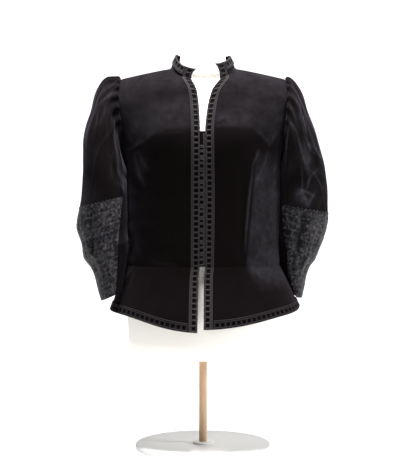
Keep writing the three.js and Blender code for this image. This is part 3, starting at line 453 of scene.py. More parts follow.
def wall(name, outer, inner, flip, ring=False, values=None):
    """Closed wall between two grids of points, rows up and columns round."""
    rows, columns = outer.shape[:2]
    count = rows * columns
    number = np.arange(count).reshape(rows, columns)
    if ring:
        number = np.concatenate([number, number[:, :1]], 1)
    a, b = number[:-1, :-1], number[:-1, 1:]
    c, d = number[1:, 1:], number[1:, :-1]
    front = np.stack([a, b, c, d], -1).reshape(-1, 4)
    faces = [front, front[:, ::-1] + count]

    def rim(line):
        p, q = line[:-1], line[1:]
        return np.stack([p + count, q + count, q, p], -1)

    faces += [rim(number[0]), rim(number[-1])[:, ::-1]]
    if not ring:
        faces += [rim(number[:, 0])[:, ::-1], rim(number[:, -1])]
    faces = np.concatenate(faces)
    if flip:
        faces = faces[:, ::-1]
    points = np.concatenate([outer.reshape(-1, 3), inner.reshape(-1, 3)])
    if values is not None:
        values = np.concatenate([values.ravel(), np.zeros(count)])
    obj = new_piece(name, points, faces.tolist(), values)
    soften(obj, 50)
    return obj


def cloth_wall(name, cloth, us, vs, thick, lift=0, tone=None):
    u, v = np.meshgrid(us, vs)
    outer = cloth.at(u, v, lift)
    values = None if tone is None else tone(outer)
    return wall(name, outer, cloth.at(u, v, lift - thick), cloth.flip, False, values)


# Painted light of the velvet, kept as its tone: 0 for its plain dark colour and 1 for fully painted lit
# The lower line of the yoke painted lit: distance from the centre line, height
YOKE = {
    ("front", "left"): [(20, 795), (75, 792), (122, 780), (145, 768), (166, 753), (188, 786)],
    ("front", "right"): [(20, 798), (88, 797), (121, 791), (145, 772), (163, 751), (186, 792)],
    ("back", "left"): [(0, 806), (90, 800), (150, 782), (190, 776)],
    ("back", "right"): [(0, 806), (80, 802), (140, 778), (190, 770)],
}
YOKE_PAINTED_LIGHT = 0.125
# Painted lit patches, and painted shade where the tone is below 0: face, side, x, z, half width, half height,
# tone
PAINTED_PATCHES = [
    ("front", "left", 104, 818, 30, 20, 0.13),
    ("front", "left", 56, 842, 26, 30, 0.05),
    ("front", "left", 168, 792, 16, 22, 0.1),
    ("front", "left", 120, 880, 60, 16, -0.06),
    ("front", "left", 180, 640, 14, 110, 0.12),
    ("front", "left", 150, 700, 12, 34, 0.14),
    ("front", "right", 66, 814, 36, 15, 0.1),
    ("front", "right", 118, 812, 22, 14, 0.1),
    ("front", "right", 178, 832, 18, 50, 0.08),
    ("front", "right", 166, 780, 16, 20, 0.12),
    ("front", "right", 120, 868, 50, 30, 0.01),
    ("front", "right", 132, 450, 30, 26, 0.06),
    ("front", "right", 176, 430, 22, 18, 0.06),
    ("back", "left", 90, 836, 44, 28, 0.25),
    ("back", "left", 170, 560, 20, 90, 0.2),
    ("back", "right", 110, 830, 40, 24, 0.3),
    ("back", "right", 40, 600, 26, 80, 0.12),
]
# Painted highlight lines: face, side, from x and z, to x and z, bow, width, tone
PAINTED_HIGHLIGHT_LINES = [
    ("front", "left", 24, 793, 118, 781, -6, 4, 0.06),
    ("front", "left", 118, 784, 168, 752, -4, 4, 0.2),
    ("front", "left", 170, 756, 190, 792, -3, 5, 0.14),
    ("front", "left", 168, 742, 138, 646, 6, 4, 0.35),
    ("front", "left", 160, 744, 128, 690, 5, 3, 0.2),
    ("front", "left", 184, 744, 180, 560, -2, 4, 0.2),
    ("front", "left", 168, 530, 150, 476, 3, 6, 0.16),
    ("front", "left", 168, 459, 206, 404, 3, 4, 0.3),
    ("front", "left", 130, 470, 60, 462, 2, 4, 0.1),
    ("front", "right", 26, 796, 120, 793, 4, 4, 0.06),
    ("front", "right", 120, 793, 162, 752, 5, 4, 0.18),
    ("front", "right", 164, 752, 186, 792, 3, 5, 0.14),
    ("front", "right", 158, 740, 126, 664, 4, 4, 0.4),
    ("front", "right", 134, 742, 118, 700, 2, 3.5, 0.4),
    ("front", "right", 124, 722, 101, 484, -3, 2.6, 0.45),
    ("front", "right", 30, 796, 52, 826, 3, 3, 0.16),
    ("front", "right", 30, 790, 56, 806, 3, 3, 0.12),
    ("back", "left", 120, 800, 60, 760, 6, 6, 0.25),
    ("back", "right", 170, 740, 130, 650, 5, 5, 0.3),
]
# The side panel painted lit: its inner edge above and below, tone on the left and right
PANEL_TOP = (126, 730)
PANEL_FOOT = (102, 470)
PANEL_PAINTED_LIGHT = {("front", "right"): 0.34, ("back", "left"): 0.2}


# Painted light of one velvet panel: the lit yoke, lit and shaded patches, highlight lines and the lit side
# panel.
def velvet_painted_light(face, side):
    yoke = np.array(YOKE[face, side], float)
    panel = PANEL_PAINTED_LIGHT.get((face, side), 0)

    def tone(p):
        x, z = np.abs(p[..., 0]), p[..., 2]
        value = YOKE_PAINTED_LIGHT * smooth((z - np.interp(x, yoke[:, 0], yoke[:, 1])) / 12 + 0.6)
        for of_face, of_side, mx, mz, wide, tall, amount in PAINTED_PATCHES:
            if (of_face, of_side) == (face, side):
                value = value + amount * bell((x - mx) / wide) * bell((z - mz) / tall)
        value = value + crease_height(PAINTED_HIGHLIGHT_LINES, face, side, x, z)
        if panel:
            line = np.interp(z, [PANEL_FOOT[1], PANEL_TOP[1]], [PANEL_FOOT[0], PANEL_TOP[0]])
            soft = mix(9, 46, smooth((WAIST_Z + 14 - z) / 60))
            inside = smooth((x - line) / soft) * smooth((z - 392) / 60) * smooth((748 - z) / 70)
            value = value + panel * inside
        return value

    return tone


def back_painted_light(p):
    left, right = velvet_painted_light("back", "left"), velvet_painted_light("back", "right")
    return np.where(p[..., 0] < 0, left(p), right(p))


def tube(grid):
    """Closed bar through sections: grid[i, j], i along it, j round it."""
    rows, round_count = grid.shape[:2]
    number = np.arange(rows * round_count).reshape(rows, round_count)
    closed = np.concatenate([number, number[:, :1]], 1)
    a, b = closed[:-1, :-1], closed[:-1, 1:]
    c, d = closed[1:, 1:], closed[1:, :-1]
    faces = np.stack([a, b, c, d], -1).reshape(-1, 4).tolist()
    faces.append(number[0][::-1].tolist())
    faces.append(number[-1].tolist())
    return grid.reshape(-1, 3), faces


def gather(name, solids, degrees=50):
    """One object from several (points, faces)."""
    points, faces, start = [], [], 0
    for own, own_faces in solids:
        points.append(own)
        faces += [[i + start for i in face] for face in own_faces]
        start += len(own)
    obj = new_piece(name, np.concatenate(points), faces)
    outwards(obj)
    soften(obj, degrees)
    return obj


def outwards(obj):
    mesh = bmesh.new()
    mesh.from_mesh(obj.data)
    bmesh.ops.recalc_face_normals(mesh, faces=mesh.faces)
    mesh.to_mesh(obj.data)
    mesh.free()


# Materials
class Socket:
    """A socket with arithmetic that adds Math nodes."""

    def __init__(self, nodes, socket):
        self.nodes, self.socket = nodes, socket

    def _math(self, operation, a, b=None):
        values = [a] if b is None else [a, b]
        return self.nodes.add("ShaderNodeMath", {"operation": operation}, dict(enumerate(values)))

    def __add__(self, other):
        return self._math("ADD", self, other)

    def __radd__(self, other):
        return self._math("ADD", other, self)

    def __sub__(self, other):
        return self._math("SUBTRACT", self, other)

    def __rsub__(self, other):
        return self._math("SUBTRACT", other, self)

    def __mul__(self, other):
        return self._math("MULTIPLY", self, other)

    def __rmul__(self, other):
        return self._math("MULTIPLY", other, self)

    def __pow__(self, other):
        return self._math("POWER", self, other)


class Finish:
    """One material and its nodes."""

    def __init__(self, name, **constants):
        self.material = bpy.data.materials.new(name)
        self.material.use_nodes = True
        self.tree = self.material.node_tree
        self.shader = self.tree.nodes["Principled BSDF"]
        for key, value in constants.items():
            self.shader.inputs[key.replace("_", " ")].default_value = value

    def add(self, kind, settings=None, inputs=None, output=0):
        node = self.tree.nodes.new(kind)
        for key, value in (settings or {}).items():
            if key == "stops":
                ramp = node.color_ramp
                while len(ramp.elements) < len(value):
                    ramp.elements.new(0.5)
                for element, (place, colour) in zip(ramp.elements, value):
                    element.position = place
                    element.color = colour
            else:
                setattr(node, key, value)
        for key, value in (inputs or {}).items():
            if isinstance(value, Socket):
                self.tree.links.new(value.socket, node.inputs[key])
            else:
                node.inputs[key].default_value = value
        return Socket(self, node.outputs[output])

    def link(self, key, socket):
        self.tree.links.new(socket.socket, self.shader.inputs[key])

    def place(self, scale=(1, 1, 1)):
        own = self.add("ShaderNodeTexCoord", output="Object")
        return self.add("ShaderNodeMapping", {}, {"Vector": own, "Scale": scale})

    def noise(self, where, scale, detail=3, rough=0.55):
        settings = {"Vector": where, "Scale": scale, "Detail": detail, "Roughness": rough}
        return self.add("ShaderNodeTexNoise", {}, settings, "Fac")

    def colour(self, amount, low, high):
        stops = [(0, (*low, 1)), (1, (*high, 1))]
        return self.add("ShaderNodeValToRGB", {"stops": stops}, {"Fac": amount}, "Color")

    def bump(self, height, strength, distance):
        inputs = {"Height": height, "Strength": strength, "Distance": distance}
        self.link("Normal", self.add("ShaderNodeBump", {}, inputs, "Normal"))

    def give(self, obj):
        obj.data.materials.clear()
        obj.data.materials.append(self.material)
        return obj


def velvet_finish():
    finish = Finish(
        "Black velvet", Roughness=0.9, Specular_IOR_Level=0, Sheen_Weight=0.05, Sheen_Roughness=0.5,
        Sheen_Tint=(0.62, 0.56, 0.72, 1),
    )
    # The tone attribute is painted light; noise mottles it, and the ramp runs from the velvet's own dark
    # colour to its painted lit colour.
    painted_light = finish.add("ShaderNodeAttribute", {"attribute_name": "tone"}, {}, "Fac")
    where = finish.place()
    clouds = finish.noise(where, 22, 4, 0.6)
    brushed = finish.noise(where, 75, 3, 0.6)
    pile = finish.noise(where, 900, 2, 0.5)
    mottle = clouds * 2.4 + brushed * 1.6 - 1.05
    amount = finish.add("ShaderNodeClamp", {}, {"Value": painted_light * mottle + 0.03 * clouds}, "Result")
    finish.link("Base Color", finish.colour(amount, (0.0034, 0.0024, 0.0022), (0.039, 0.0365, 0.0435)))
    finish.bump(pile * 0.6 + brushed * 0.4, 0.25, 0.0006)
    return finish


def braid_finish(name, low, high):
    finish = Finish(name, Roughness=0.75, Specular_IOR_Level=0.06, Sheen_Weight=0.03, Sheen_Roughness=0.4)
    where = finish.place()
    twist = finish.noise(where, 420, 2, 0.5)
    finish.link("Base Color", finish.colour(twist, low, high))
    finish.bump(twist, 0.5, 0.0008)
    return finish


def underlap_finish():
    finish = Finish("Underlap twill", Roughness=0.85, Specular_IOR_Level=0.02)
    where = finish.place()
    grain = finish.noise(where, 700, 2, 0.5)
    finish.link("Base Color", finish.colour(grain, (0.002, 0.0016, 0.0018), (0.006, 0.005, 0.0056)))
    finish.bump(grain, 0.3, 0.0004)
    return finish


def cord_finish():
    finish = Finish("Scroll cord", Roughness=0.7, Specular_IOR_Level=0.1, Sheen_Weight=0.04)
    where = finish.place()
    twist = finish.noise(where, 600, 2, 0.5)
    finish.link("Base Color", finish.colour(twist, (0.016, 0.0145, 0.017), (0.05, 0.046, 0.052)))
    return finish


def lace_finish(name, low, high):
    finish = Finish(name, Roughness=0.5, Specular_IOR_Level=0.12, Sheen_Weight=0.03, Sheen_Roughness=0.4)
    # The tone attribute holds the lace's raised pattern, with painted shade taken off in its fold hollows.
    raised_and_painted_shade = finish.add("ShaderNodeAttribute", {"attribute_name": "tone"}, {}, "Fac")
    where = finish.place()
    yarn = finish.noise(where, 520, 3, 0.6)
    uneven = finish.noise(where, 60, 3, 0.6)
    # Painted glints: a few random cells of the lace made bright.
    painted_glints = finish.add("ShaderNodeTexVoronoi", {}, {"Vector": where, "Scale": 190}, "Color")
    worked = raised_and_painted_shade * 0.75 + yarn * 1.1 + uneven * 0.5 - 0.86 + painted_glints**5 * 1.8
    amount = finish.add("ShaderNodeClamp", {}, {"Value": worked}, "Result")
    finish.link("Base Color", finish.colour(amount, low, high))
    finish.bump(yarn * 0.6 + raised_and_painted_shade * 0.4, 0.6, 0.0007)
    return finish


def jersey_finish():
    finish = Finish("Form jersey", Roughness=0.85, Sheen_Weight=0.1)
    where = finish.place(scale=(1, 1, 0.6))
    knit = finish.noise(where, 900, 2, 0.5)
    finish.link("Base Color", finish.colour(knit, (0.84, 0.81, 0.75), (0.9, 0.875, 0.82)))
    finish.bump(knit, 0.15, 0.0003)
    return finish


def wood_finish():
    finish = Finish("Turned wood", Roughness=0.45)
    where = finish.place(scale=(1, 1, 0.08))
    rings = finish.noise(where, 160, 4, 0.6)
    finish.link("Base Color", finish.colour(rings, (0.34, 0.2, 0.11), (0.7, 0.48, 0.3)))
    finish.bump(rings, 0.1, 0.0003)
    return finish


def paint_finish():
    finish = Finish("White paint", Roughness=0.4)
    speckle = finish.noise(finish.place(), 300, 2, 0.5)
    finish.link("Base Color", finish.colour(speckle, (0.86, 0.86, 0.85), (0.9, 0.9, 0.89)))
    return finish


def stage_finish():
    return Finish(
        "Studio paper", Base_Color=(0.3, 0.3, 0.3, 1), Roughness=0.9,
        Emission_Color=(1, 1, 1, 1), Emission_Strength=0.97,
    )


VELVET = velvet_finish()
# One braid in two copies: painted lighter on the front edges and collar, darker at the hem, for how the light
# falls on them.
BRAID_PAINTED_LIT = braid_finish("Ladder braid", (0.009, 0.0075, 0.0083), (0.042, 0.036, 0.039))
BRAID_PAINTED_SHADED = braid_finish("Hem braid", (0.0042, 0.0034, 0.0038), (0.02, 0.0168, 0.0184))
UNDERLAP = underlap_finish()
CORD = cord_finish()
LACE_FINISH = lace_finish("Corded lace", (0.0016, 0.0013, 0.0016), (0.05, 0.046, 0.053))
BEADING = lace_finish("Ribbon beading", (0.0012, 0.001, 0.0014), (0.036, 0.033, 0.044))
JERSEY = jersey_finish()
WOOD = wood_finish()
PAINT = paint_finish()


def fit(obj, finish, slot, *nodes):
    finish.give(obj)
    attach(obj, "root")
    if nodes:
        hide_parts(*nodes)
    return obj


def spread(count, low=0, high=1):
    return np.linspace(low, high, count)


# Bodice
ROWS_V = np.concatenate([spread(66, 0, 0.5), 0.5 + (1 - np.cos(math.pi * spread(70)[1:])) / 4])


def make_bodice():
    for side in SIGN:
        edge = float(front_edge[side](NECKLINE_Z["front"]))
        neck = float(neck_column("front", edge))
        us = np.concatenate([spread(34, 0, neck), spread(60, neck, 1)[1:]])
        obj = cloth_wall(f"front_{side}", FRONT_CLOTH[side], us, ROWS_V, CLOTH, 0, velvet_painted_light("front", side))
        fit(obj, VELVET, "velvet", f"bodice_front_{side}")
    neck = float(neck_column("back", 0))
    half = np.concatenate([spread(34, 0, neck), spread(52, neck, 1)[1:]])
    us = np.concatenate([-half[:0:-1], half])
    fit(cloth_wall("back", BACK_CLOTH, us, ROWS_V, CLOTH, 0, back_painted_light), VELVET, "velvet", "bodice_back")


def make_peplum():
    vs = spread(46, 0, 1.004)
    for side in SIGN:
        tone = velvet_painted_light("front", side)
        obj = cloth_wall(f"skirt_front_{side}", FRONT_PEPLUM[side], spread(100), vs, CLOTH, 0, tone)
        fit(obj, VELVET, "velvet", f"peplum_front_{side}")
    obj = cloth_wall("skirt_back", BACK_PEPLUM, spread(200, -1, 1), vs, CLOTH, 0, back_painted_light)
    fit(obj, VELVET, "velvet", "peplum_back")


# Collar: place along it, height, lean, forward, inward at the upper edge
COLLAR = [
    (0, 24, 2, 7, 13),
    (0.08, 26, 7, 2, 3),
    (0.22, 36, 15, 0, 0),
    (0.5, 33, 7, 0, 0),
    (0.78, 33, 16, 0, 0),
    (0.92, 35, 9, 3, 2),
    (1, 37, 3, 8, 11),
]
collar_form = [column(COLLAR, k) for k in range(1, 5)]
NECK_AXIS_Y = -8
NECK_GAP = -0.5  # the collar's foot sinks a little into the panels' edges


def neck_edge():
    """The panels' neck edge from the left front end round the back to the right, and its lengths."""
    runs = []
    for face, side in (("front", "left"), ("back", "left"), ("back", "right"), ("front", "right")):
        edge = float(edge_of(face, side)(np.float64(NECKLINE_Z[face])))
        w = spread(80, 0, float(neck_column(face, edge)))
        run = bodice_surface(face, side)(w, np.ones_like(w))
        inward = (face, side) in (("back", "left"), ("front", "right"))
        runs.append(run[::-1] if inward else run)
    line = np.concatenate(runs)
    lengths = np.concatenate([[0], np.cumsum(np.linalg.norm(np.diff(line, axis=0), axis=1))])
    return line, lengths


NECK_LINE, NECK_LENGTHS = neck_edge()
NECK_LENGTH = NECK_LENGTHS[-1]


def collar_surface(u, v):
    at = np.clip(u, 0, 1)
    base = np.stack([np.interp(at * NECK_LENGTH, NECK_LENGTHS, NECK_LINE[:, k]) for k in range(3)], -1)
    ends = np.stack([NECK_LINE[4] - NECK_LINE[0], NECK_LINE[-1] - NECK_LINE[-5]])
    ends /= np.linalg.norm(ends, axis=1, keepdims=True)
    over = (u - at) * NECK_LENGTH
    base = base + over[..., None] * np.where((u < 0.5)[..., None], ends[0], ends[1])
    high, lean, forward, inward = (form(at) for form in collar_form)
    radial = np.stack([base[..., 0], base[..., 1] - NECK_AXIS_Y], -1)
    radial /= np.linalg.norm(radial, axis=-1, keepdims=True)
    rise = np.maximum(v, 0) ** 1.2
    away = -SEAM - lean * rise
    x = base[..., 0] + radial[..., 0] * away - np.sign(base[..., 0]) * inward * v**3
    y = base[..., 1] + radial[..., 1] * away - forward * v**3
    return np.stack([x, y, base[..., 2] + NECK_GAP + high * v], -1)


def collar_relief(u, v, p):
    waves = 0.5 * np.sin(u * 19) * v + 0.35 * np.sin(u * 47 + 1) * v * v
    return waves + seam_dip(v * 30, 0.8, 4)


COLLAR_CLOTH = Cloth(collar_surface, True, collar_relief)


# The collar's velvet is painted evenly lighter.
COLLAR_PAINTED_LIGHT = 0.3


def make_collar():
    obj = cloth_wall(
        "stand_collar", COLLAR_CLOTH, spread(220), spread(22), CLOTH, 0, lambda p: COLLAR_PAINTED_LIGHT + 0 * p[..., 0]
    )
    fit(obj, VELVET, "velvet", "collar")


# Places on the fronts
def front_place(side, x, z):
    """w and v of the place x, z on a front panel, for heights on one side of the waist seam."""
    edge_at = front_edge[side]
    half = trunk_half(z)
    w = np.zeros(np.broadcast(x, z).shape)
    top = w
    edge = float(edge_at(NECKLINE_Z["front"]))
    for _ in range(5):
        top, ridge = column_end("front", w, edge)
        armhole = armhole_angle("front", z, top, ridge)
        start = angle_of(edge_at(z), half, armhole)
        w = (angle_of(x, half, armhole) - start) / (armhole - start)
    low = WAIST_Z + JOIN
    v = np.where(z < ARMPIT_Z, (z - low) / (ARMPIT_Z - low) / 2, 0.5 + (z - ARMPIT_Z) / (top - ARMPIT_Z) / 2)
    return w, v


def peplum_place(side, x, z):
    edge_at = front_edge[side]
    half = peplum_half(z)
    start = np.arcsin(edge_at(z) / half)
    w = (np.arcsin(x / half) - start) / (math.pi / 2 - start)
    first = math.asin(float(edge_at(HEM_SIDE)) / float(peplum_half(HEM_SIDE)))
    low = hem_height("front", side, mix(first, math.pi / 2, w))
    return w, (z - low) / (WAIST_Z - JOIN - low)


def on_front(side, x, z, out):
    x, z, out = np.broadcast_arrays(np.asarray(x, float), np.asarray(z, float), np.asarray(out, float))
    above = FRONT_CLOTH[side].at(*front_place(side, x, np.maximum(z, WAIST_Z)), out)
    below = FRONT_PEPLUM[side].at(*peplum_place(side, x, np.minimum(z, WAIST_Z)), out)
    return np.where((z < WAIST_Z)[..., None], below, above)


# Ladder braid
RAIL = 4.2
GAP = 9.3
WIDE_RAIL = 7.5
PITCH = 13.4
BAR = 4.6
LIFT = 0.5
EDGE_IN = 0.6
LADDER_WIDTH = RAIL + GAP + WIDE_RAIL


def rounded(width, thick, count, ribs=1):
    """Section of a rail, as (across, out): flat below, with crowned ribs above."""
    t = spread(count)
    crown = np.abs(np.sin(math.pi * ribs * t)) ** 0.5
    across = np.concatenate([t * width, [width, 0]])
    out = np.concatenate([0.35 * thick + 0.75 * thick * crown, [0, 0]])
    return across, out


def ladder(name, place, length):
    """Two rails and the bars between them. place(s, across, out) gives points, s from 0 to 1 along."""
    cells = round((length - BAR) / PITCH)
    share = BAR / length * ((cells * PITCH + BAR) / length)
    pitch = (1 - share) / cells
    s = spread(int(length / 1.7) + 1)[:, None]
    twist = 1 + 0.12 * np.sin(s * length * 2 * math.pi / 3.4)
    solids = []
    for start, width, ribs, count in ((0, RAIL, 1, 5), (RAIL + GAP, WIDE_RAIL, 2, 9)):
        across, out = rounded(width, BRAID, count, ribs)
        solids.append(tube(place(s, start + across[None], LIFT + out[None] * twist)))
    across, out = rounded(BAR, BRAID * 0.85, 5)
    reach = spread(6, RAIL - 1.2, RAIL + GAP + 1.2)[:, None]
    for k in range(cells + 1):
        along = k * pitch + across[None] / BAR * share
        solids.append(tube(place(along, reach, LIFT + out[None])))
    return gather(name, solids)


def evenly(point, samples=400):
    """Shares of a curve's length to its own parameter, and the length."""
    t = spread(samples)
    line = point(t)
    lengths = np.concatenate([[0], np.cumsum(np.linalg.norm(np.diff(line, axis=0), axis=1))])
    return (lambda s: np.interp(s * lengths[-1], lengths, t)), float(lengths[-1])


# The front braids run on up the collar's ends; this share of each lies on the front.
NECK_SHARE = 0.95
NECK_SLANT = 14  # how late the bars turn to the neckline's slope


def edge_strip(side):
    """Points of a front braid, t from 0 at the hem to 1 at the collar's upper edge."""
    edge_at = front_edge[side]
    start = math.asin(float(edge_at(HEM_SIDE)) / float(peplum_half(HEM_SIDE)))
    low = float(hem_height("front", side, start)) + EDGE_IN
    high = NECKLINE_Z["front"] - 1
    tall = COLLAR[0][1] if side == "left" else COLLAR[-1][1]
    neck_x = float(edge_at(NECKLINE_Z["front"]))

    def strip(t, across, out):
        t, across, out = np.broadcast_arrays(*(np.asarray(a, float) for a in (t, across, out)))
        upward = np.minimum(t / NECK_SHARE, 1)
        rise = (NECK_Z - high) * np.clip(across / (NECK_X - neck_x), 0, 1) ** NECK_ROUND["front"]
        z = mix(low, high, upward) + rise * upward**NECK_SLANT
        front = on_front(side, edge_at(z) + SEAM + across, z, out)
        reach = (SEAM + across) / NECK_LENGTH
        v = np.clip((t - NECK_SHARE) / (1 - NECK_SHARE), 0, 1) * (1 - EDGE_IN / tall)
        above = COLLAR_CLOTH.at(reach if side == "left" else 1 - reach, v, out + 2 * SEAM)
        return np.where((t > NECK_SHARE)[..., None], above, front)

    return strip


def make_braids():
    for side in SIGN:
        edge_at = front_edge[side]
        strip = edge_strip(side)
        at, length = evenly(lambda t: strip(t, 0, 0))
        obj = ladder(f"edge_braid_{side}", lambda s, across, out: strip(at(s), across, out), length)
        fit(obj, BRAID_PAINTED_LIT, "braid", f"braid_front_{side}")
        w, _ = peplum_place(side, float(edge_at(HEM_SIDE)) + LADDER_WIDTH + 1.2, float(HEM_SIDE))
        obj = hem_ladder(f"hem_braid_{side}", FRONT_PEPLUM[side], float(w), 0.999)
        fit(obj, BRAID_PAINTED_SHADED, "braid", f"braid_hem_{side}")
    fit(hem_ladder("hem_braid_back", BACK_PEPLUM, -0.999, 0.999), BRAID_PAINTED_SHADED, "braid", "braid_hem_back")
    start = (LADDER_WIDTH + 5 * SEAM) / NECK_LENGTH
    at, length = evenly(lambda t: COLLAR_CLOTH.at(mix(start, 1 - start, t), 1 + 0 * t))

    def place(s, across, out):
        u = mix(start, 1 - start, at(s))
        tall = np.linalg.norm(collar_surface(u, 0 * u) - collar_surface(u, 1 + 0 * u), axis=-1)
        return COLLAR_CLOTH.at(u, 1 - (across + EDGE_IN) / tall, out + 2 * SEAM)

    fit(ladder("collar_braid", place, length), BRAID_PAINTED_LIT, "braid", "braid_collar")


def hem_ladder(name, cloth, start, end):
    at, length = evenly(lambda t: cloth.at(mix(start, end, t), 0 * t))

    def place(s, across, out):
        u = mix(start, end, at(s))
        tall = np.linalg.norm(cloth.surface(u, 0 * u) - cloth.surface(u, 0 * u + 0.3), axis=-1) / 0.3
        return cloth.at(u, (across + EDGE_IN) / tall, out)

    return ladder(name, place, length)


# Placket
PLACKET_HALF = 24
PLACKET_LOW = WAIST_Z + 1
PLACKET_HIGH = 785
PLACKET_BEHIND = CLOTH + 0.9
PLACKET_THICK = 1.6


def placket_surface(u, v):
    x = mix(-PLACKET_HALF, PLACKET_HALF, u)
    z = mix(PLACKET_LOW, PLACKET_HIGH, v)
    cosine = np.cos(np.arcsin(x / trunk_half(z)))
    roll = roll_at("front", RIDGE_CENTRE_Z["front"] - z)
    y = trunk_depth["front"](z) * roll * signed_power(cosine, FULLNESS) + SEAM / 2
    sx, sz, wide, tall, deep = SWELLS["front"]
    y = y + deep * bell((np.abs(x) - sx) / wide) * bell((z - sz) / tall)
    return np.stack([x, SIDE_Y - y, z + 0 * x], -1)


def placket_relief(u, v, p):
    return 0.15 * np.sin(p[..., 2] / 7) * np.sin(p[..., 0] / 5 + 1)


PLACKET_CLOTH = Cloth(placket_surface, False, placket_relief)


def cord_along(path, radius, sides=6):
    """Round cord through points, as (points, faces)."""
    tangent = np.gradient(path, axis=0)
    tangent /= np.linalg.norm(tangent, axis=1, keepdims=True)
    outward = np.array([0, -1.0, 0])
    across = np.cross(tangent, outward)
    across /= np.linalg.norm(across, axis=1, keepdims=True)
    out = np.cross(across, tangent)
    turn = np.arange(sides) / sides * 2 * math.pi
    ring = np.cos(turn)[None, :, None] * across[:, None] + np.sin(turn)[None, :, None] * out[:, None]
    return tube(path[:, None] + radius * ring)


CORD_RADIUS = 1.1
# Scrolls: middle x, half width, repeat in height, start in radians, lift off the cloth
SCROLLS = [
    (1.2, 0.4, 29, 0, 0.3),
    (4.4, 1.9, 29, 1, 0.8),
    (4.8, 1.4, 29, 4, 0.2),
]
# Corded bars left of the scrolls: from x, to x, heights within a repeat
BAR_LEFT, BAR_RIGHT = -11, 1.2
BAR_REPEAT = 29
BARS = (0, 2, 12, 14, 16, 23, 25, 27)


def make_placket():
    obj = cloth_wall("underlap", PLACKET_CLOTH, spread(14), spread(90), PLACKET_THICK, -PLACKET_BEHIND)
    fit(obj, UNDERLAP, "underlap", "placket")
    low, high = PLACKET_LOW + 4, PLACKET_HIGH - 5
    z = spread(700, low, high)
    solids = []
    v = (z - PLACKET_LOW) / (PLACKET_HIGH - PLACKET_LOW)
    for middle, half, repeat, start, lift in SCROLLS:
        x = middle + half * np.sin(2 * math.pi * z / repeat + start)
        path = PLACKET_CLOTH.at((x / PLACKET_HALF + 1) / 2, v, CORD_RADIUS + lift - PLACKET_BEHIND)
        solids.append(cord_along(path, CORD_RADIUS))
    across = (spread(8, BAR_LEFT, BAR_RIGHT) / PLACKET_HALF + 1) / 2
    for repeat in range(int((high - low) / BAR_REPEAT)):
        for rise in BARS:
            v = (low + repeat * BAR_REPEAT + rise - PLACKET_LOW) / (PLACKET_HIGH - PLACKET_LOW)
            path = PLACKET_CLOTH.at(across, v + 0 * across, CORD_RADIUS - PLACKET_BEHIND)
            solids.append(cord_along(path, CORD_RADIUS))
    obj = gather("scroll_cord", solids, 60)
    fit(obj, CORD, "braid")


# Sleeves: along the sleeve, outer x and z, inner x and z, middle depth, half depth
SLEEVE = {
    "left": [
        (0, 206, 921, 195, 722, 2, 58),
        (0.03, 215, 927.5, 199.5, 717, 2, 64),
        (0.07, 234, 926, 199, 710, 0, 71),
        (0.12, 252, 912, 192, 702, -5, 77),
        (0.17, 265, 889, 189, 694, -10, 81),
        (0.24, 276, 848, 187, 683, -16, 85),
        (0.32, 289, 803, 188, 670, -22, 88),
        (0.4, 297, 752, 187, 658, -26, 89),
        (0.48, 297, 700, 187, 646, -29, 89),
        (0.56, 300, 640, 187, 636, -31, 88),
        (0.62, 307, 594, 187, 628, -32, 88),
        (0.69, 311, 556, 187, 592, -33, 87),
        (0.76, 302, 519, 187, 557, -34, 82),
        (0.785, 299, 507, 187, 544, -35, 80),
        (0.84, 293, 480, 185, 520, -38, 76),
        (0.9, 273, 449, 186, 494, -42, 62),
        (1, 250, 373, 198, 396, -50, 49),
    ],
    "right": [
        (0, 206, 921, 195, 722, 2, 58),
        (0.03, 213, 926, 199.5, 717, 2, 64),
        (0.07, 226, 918, 198, 709, 4, 70),
        (0.12, 240, 899, 192, 700, 8, 76),
        (0.17, 251, 877, 189, 690, 12, 80),
        (0.24, 262, 847, 189, 678, 16, 84),
        (0.32, 278, 803, 187, 664, 20, 87),
        (0.4, 294, 752, 186, 650, 23, 89),
        (0.48, 307, 702, 186, 636, 26, 89),
        (0.56, 314, 640, 186, 621, 28, 88),
        (0.62, 315, 580, 186, 606, 29, 87),
        (0.69, 311, 550, 186, 578, 30, 86),
        (0.76, 298, 509, 187, 536, 31, 81),
        (0.785, 294, 497, 187, 523, 32, 79),
        (0.84, 285, 472, 189, 498, 35, 75),
        (0.9, 266, 446, 193, 461, 40, 62),
        (1, 251, 373, 210, 380, 48, 49),
    ],
}
TIER_AT, BEADING_AT, LOWER_AT, CUFF_AT = 0.62, 0.76, 0.785, 0.9
SLEEVE_LONG = 480  # about the sleeve's length
# Folds: from and to along the sleeve, start and end round it in degrees, width, height
FOLDS = {
    "left": [
        (0.03, 0.3, 28, 68, 7, 4),
        (0.03, 0.28, 58, 86, 7, 3.5),
        (0.08, 0.44, 88, 130, 8, 4.5),
        (0.2, 0.5, 40, 48, 9, 3),
        (0.04, 0.36, 320, 292, 8, 4),
        (0.06, 0.5, 285, 255, 9, 4),
        (0.2, 0.56, 330, 322, 9, 3),
        (0.62, 0.84, 69, 62, 10, -5),
        (0.66, 0.84, 140, 132, 9, -5),
        (0.62, 0.84, 250, 258, 10, -5),
    ],
    "right": [
        (0.05, 0.42, 52, 82, 7, 4),
        (0.1, 0.3, 55, 64, 6, 3),
        (0.2, 0.52, 52, 47, 7, 4),
        (0.24, 0.52, 34, 34, 7, 3.5),
        (0.05, 0.4, 300, 275, 8, 4),
        (0.12, 0.5, 318, 312, 9, 3.5),
        (0.62, 0.86, 92, 100, 10, -6),
        (0.62, 0.84, 48, 52, 9, -4),
        (0.62, 0.84, 262, 250, 10, -5),
    ],
}
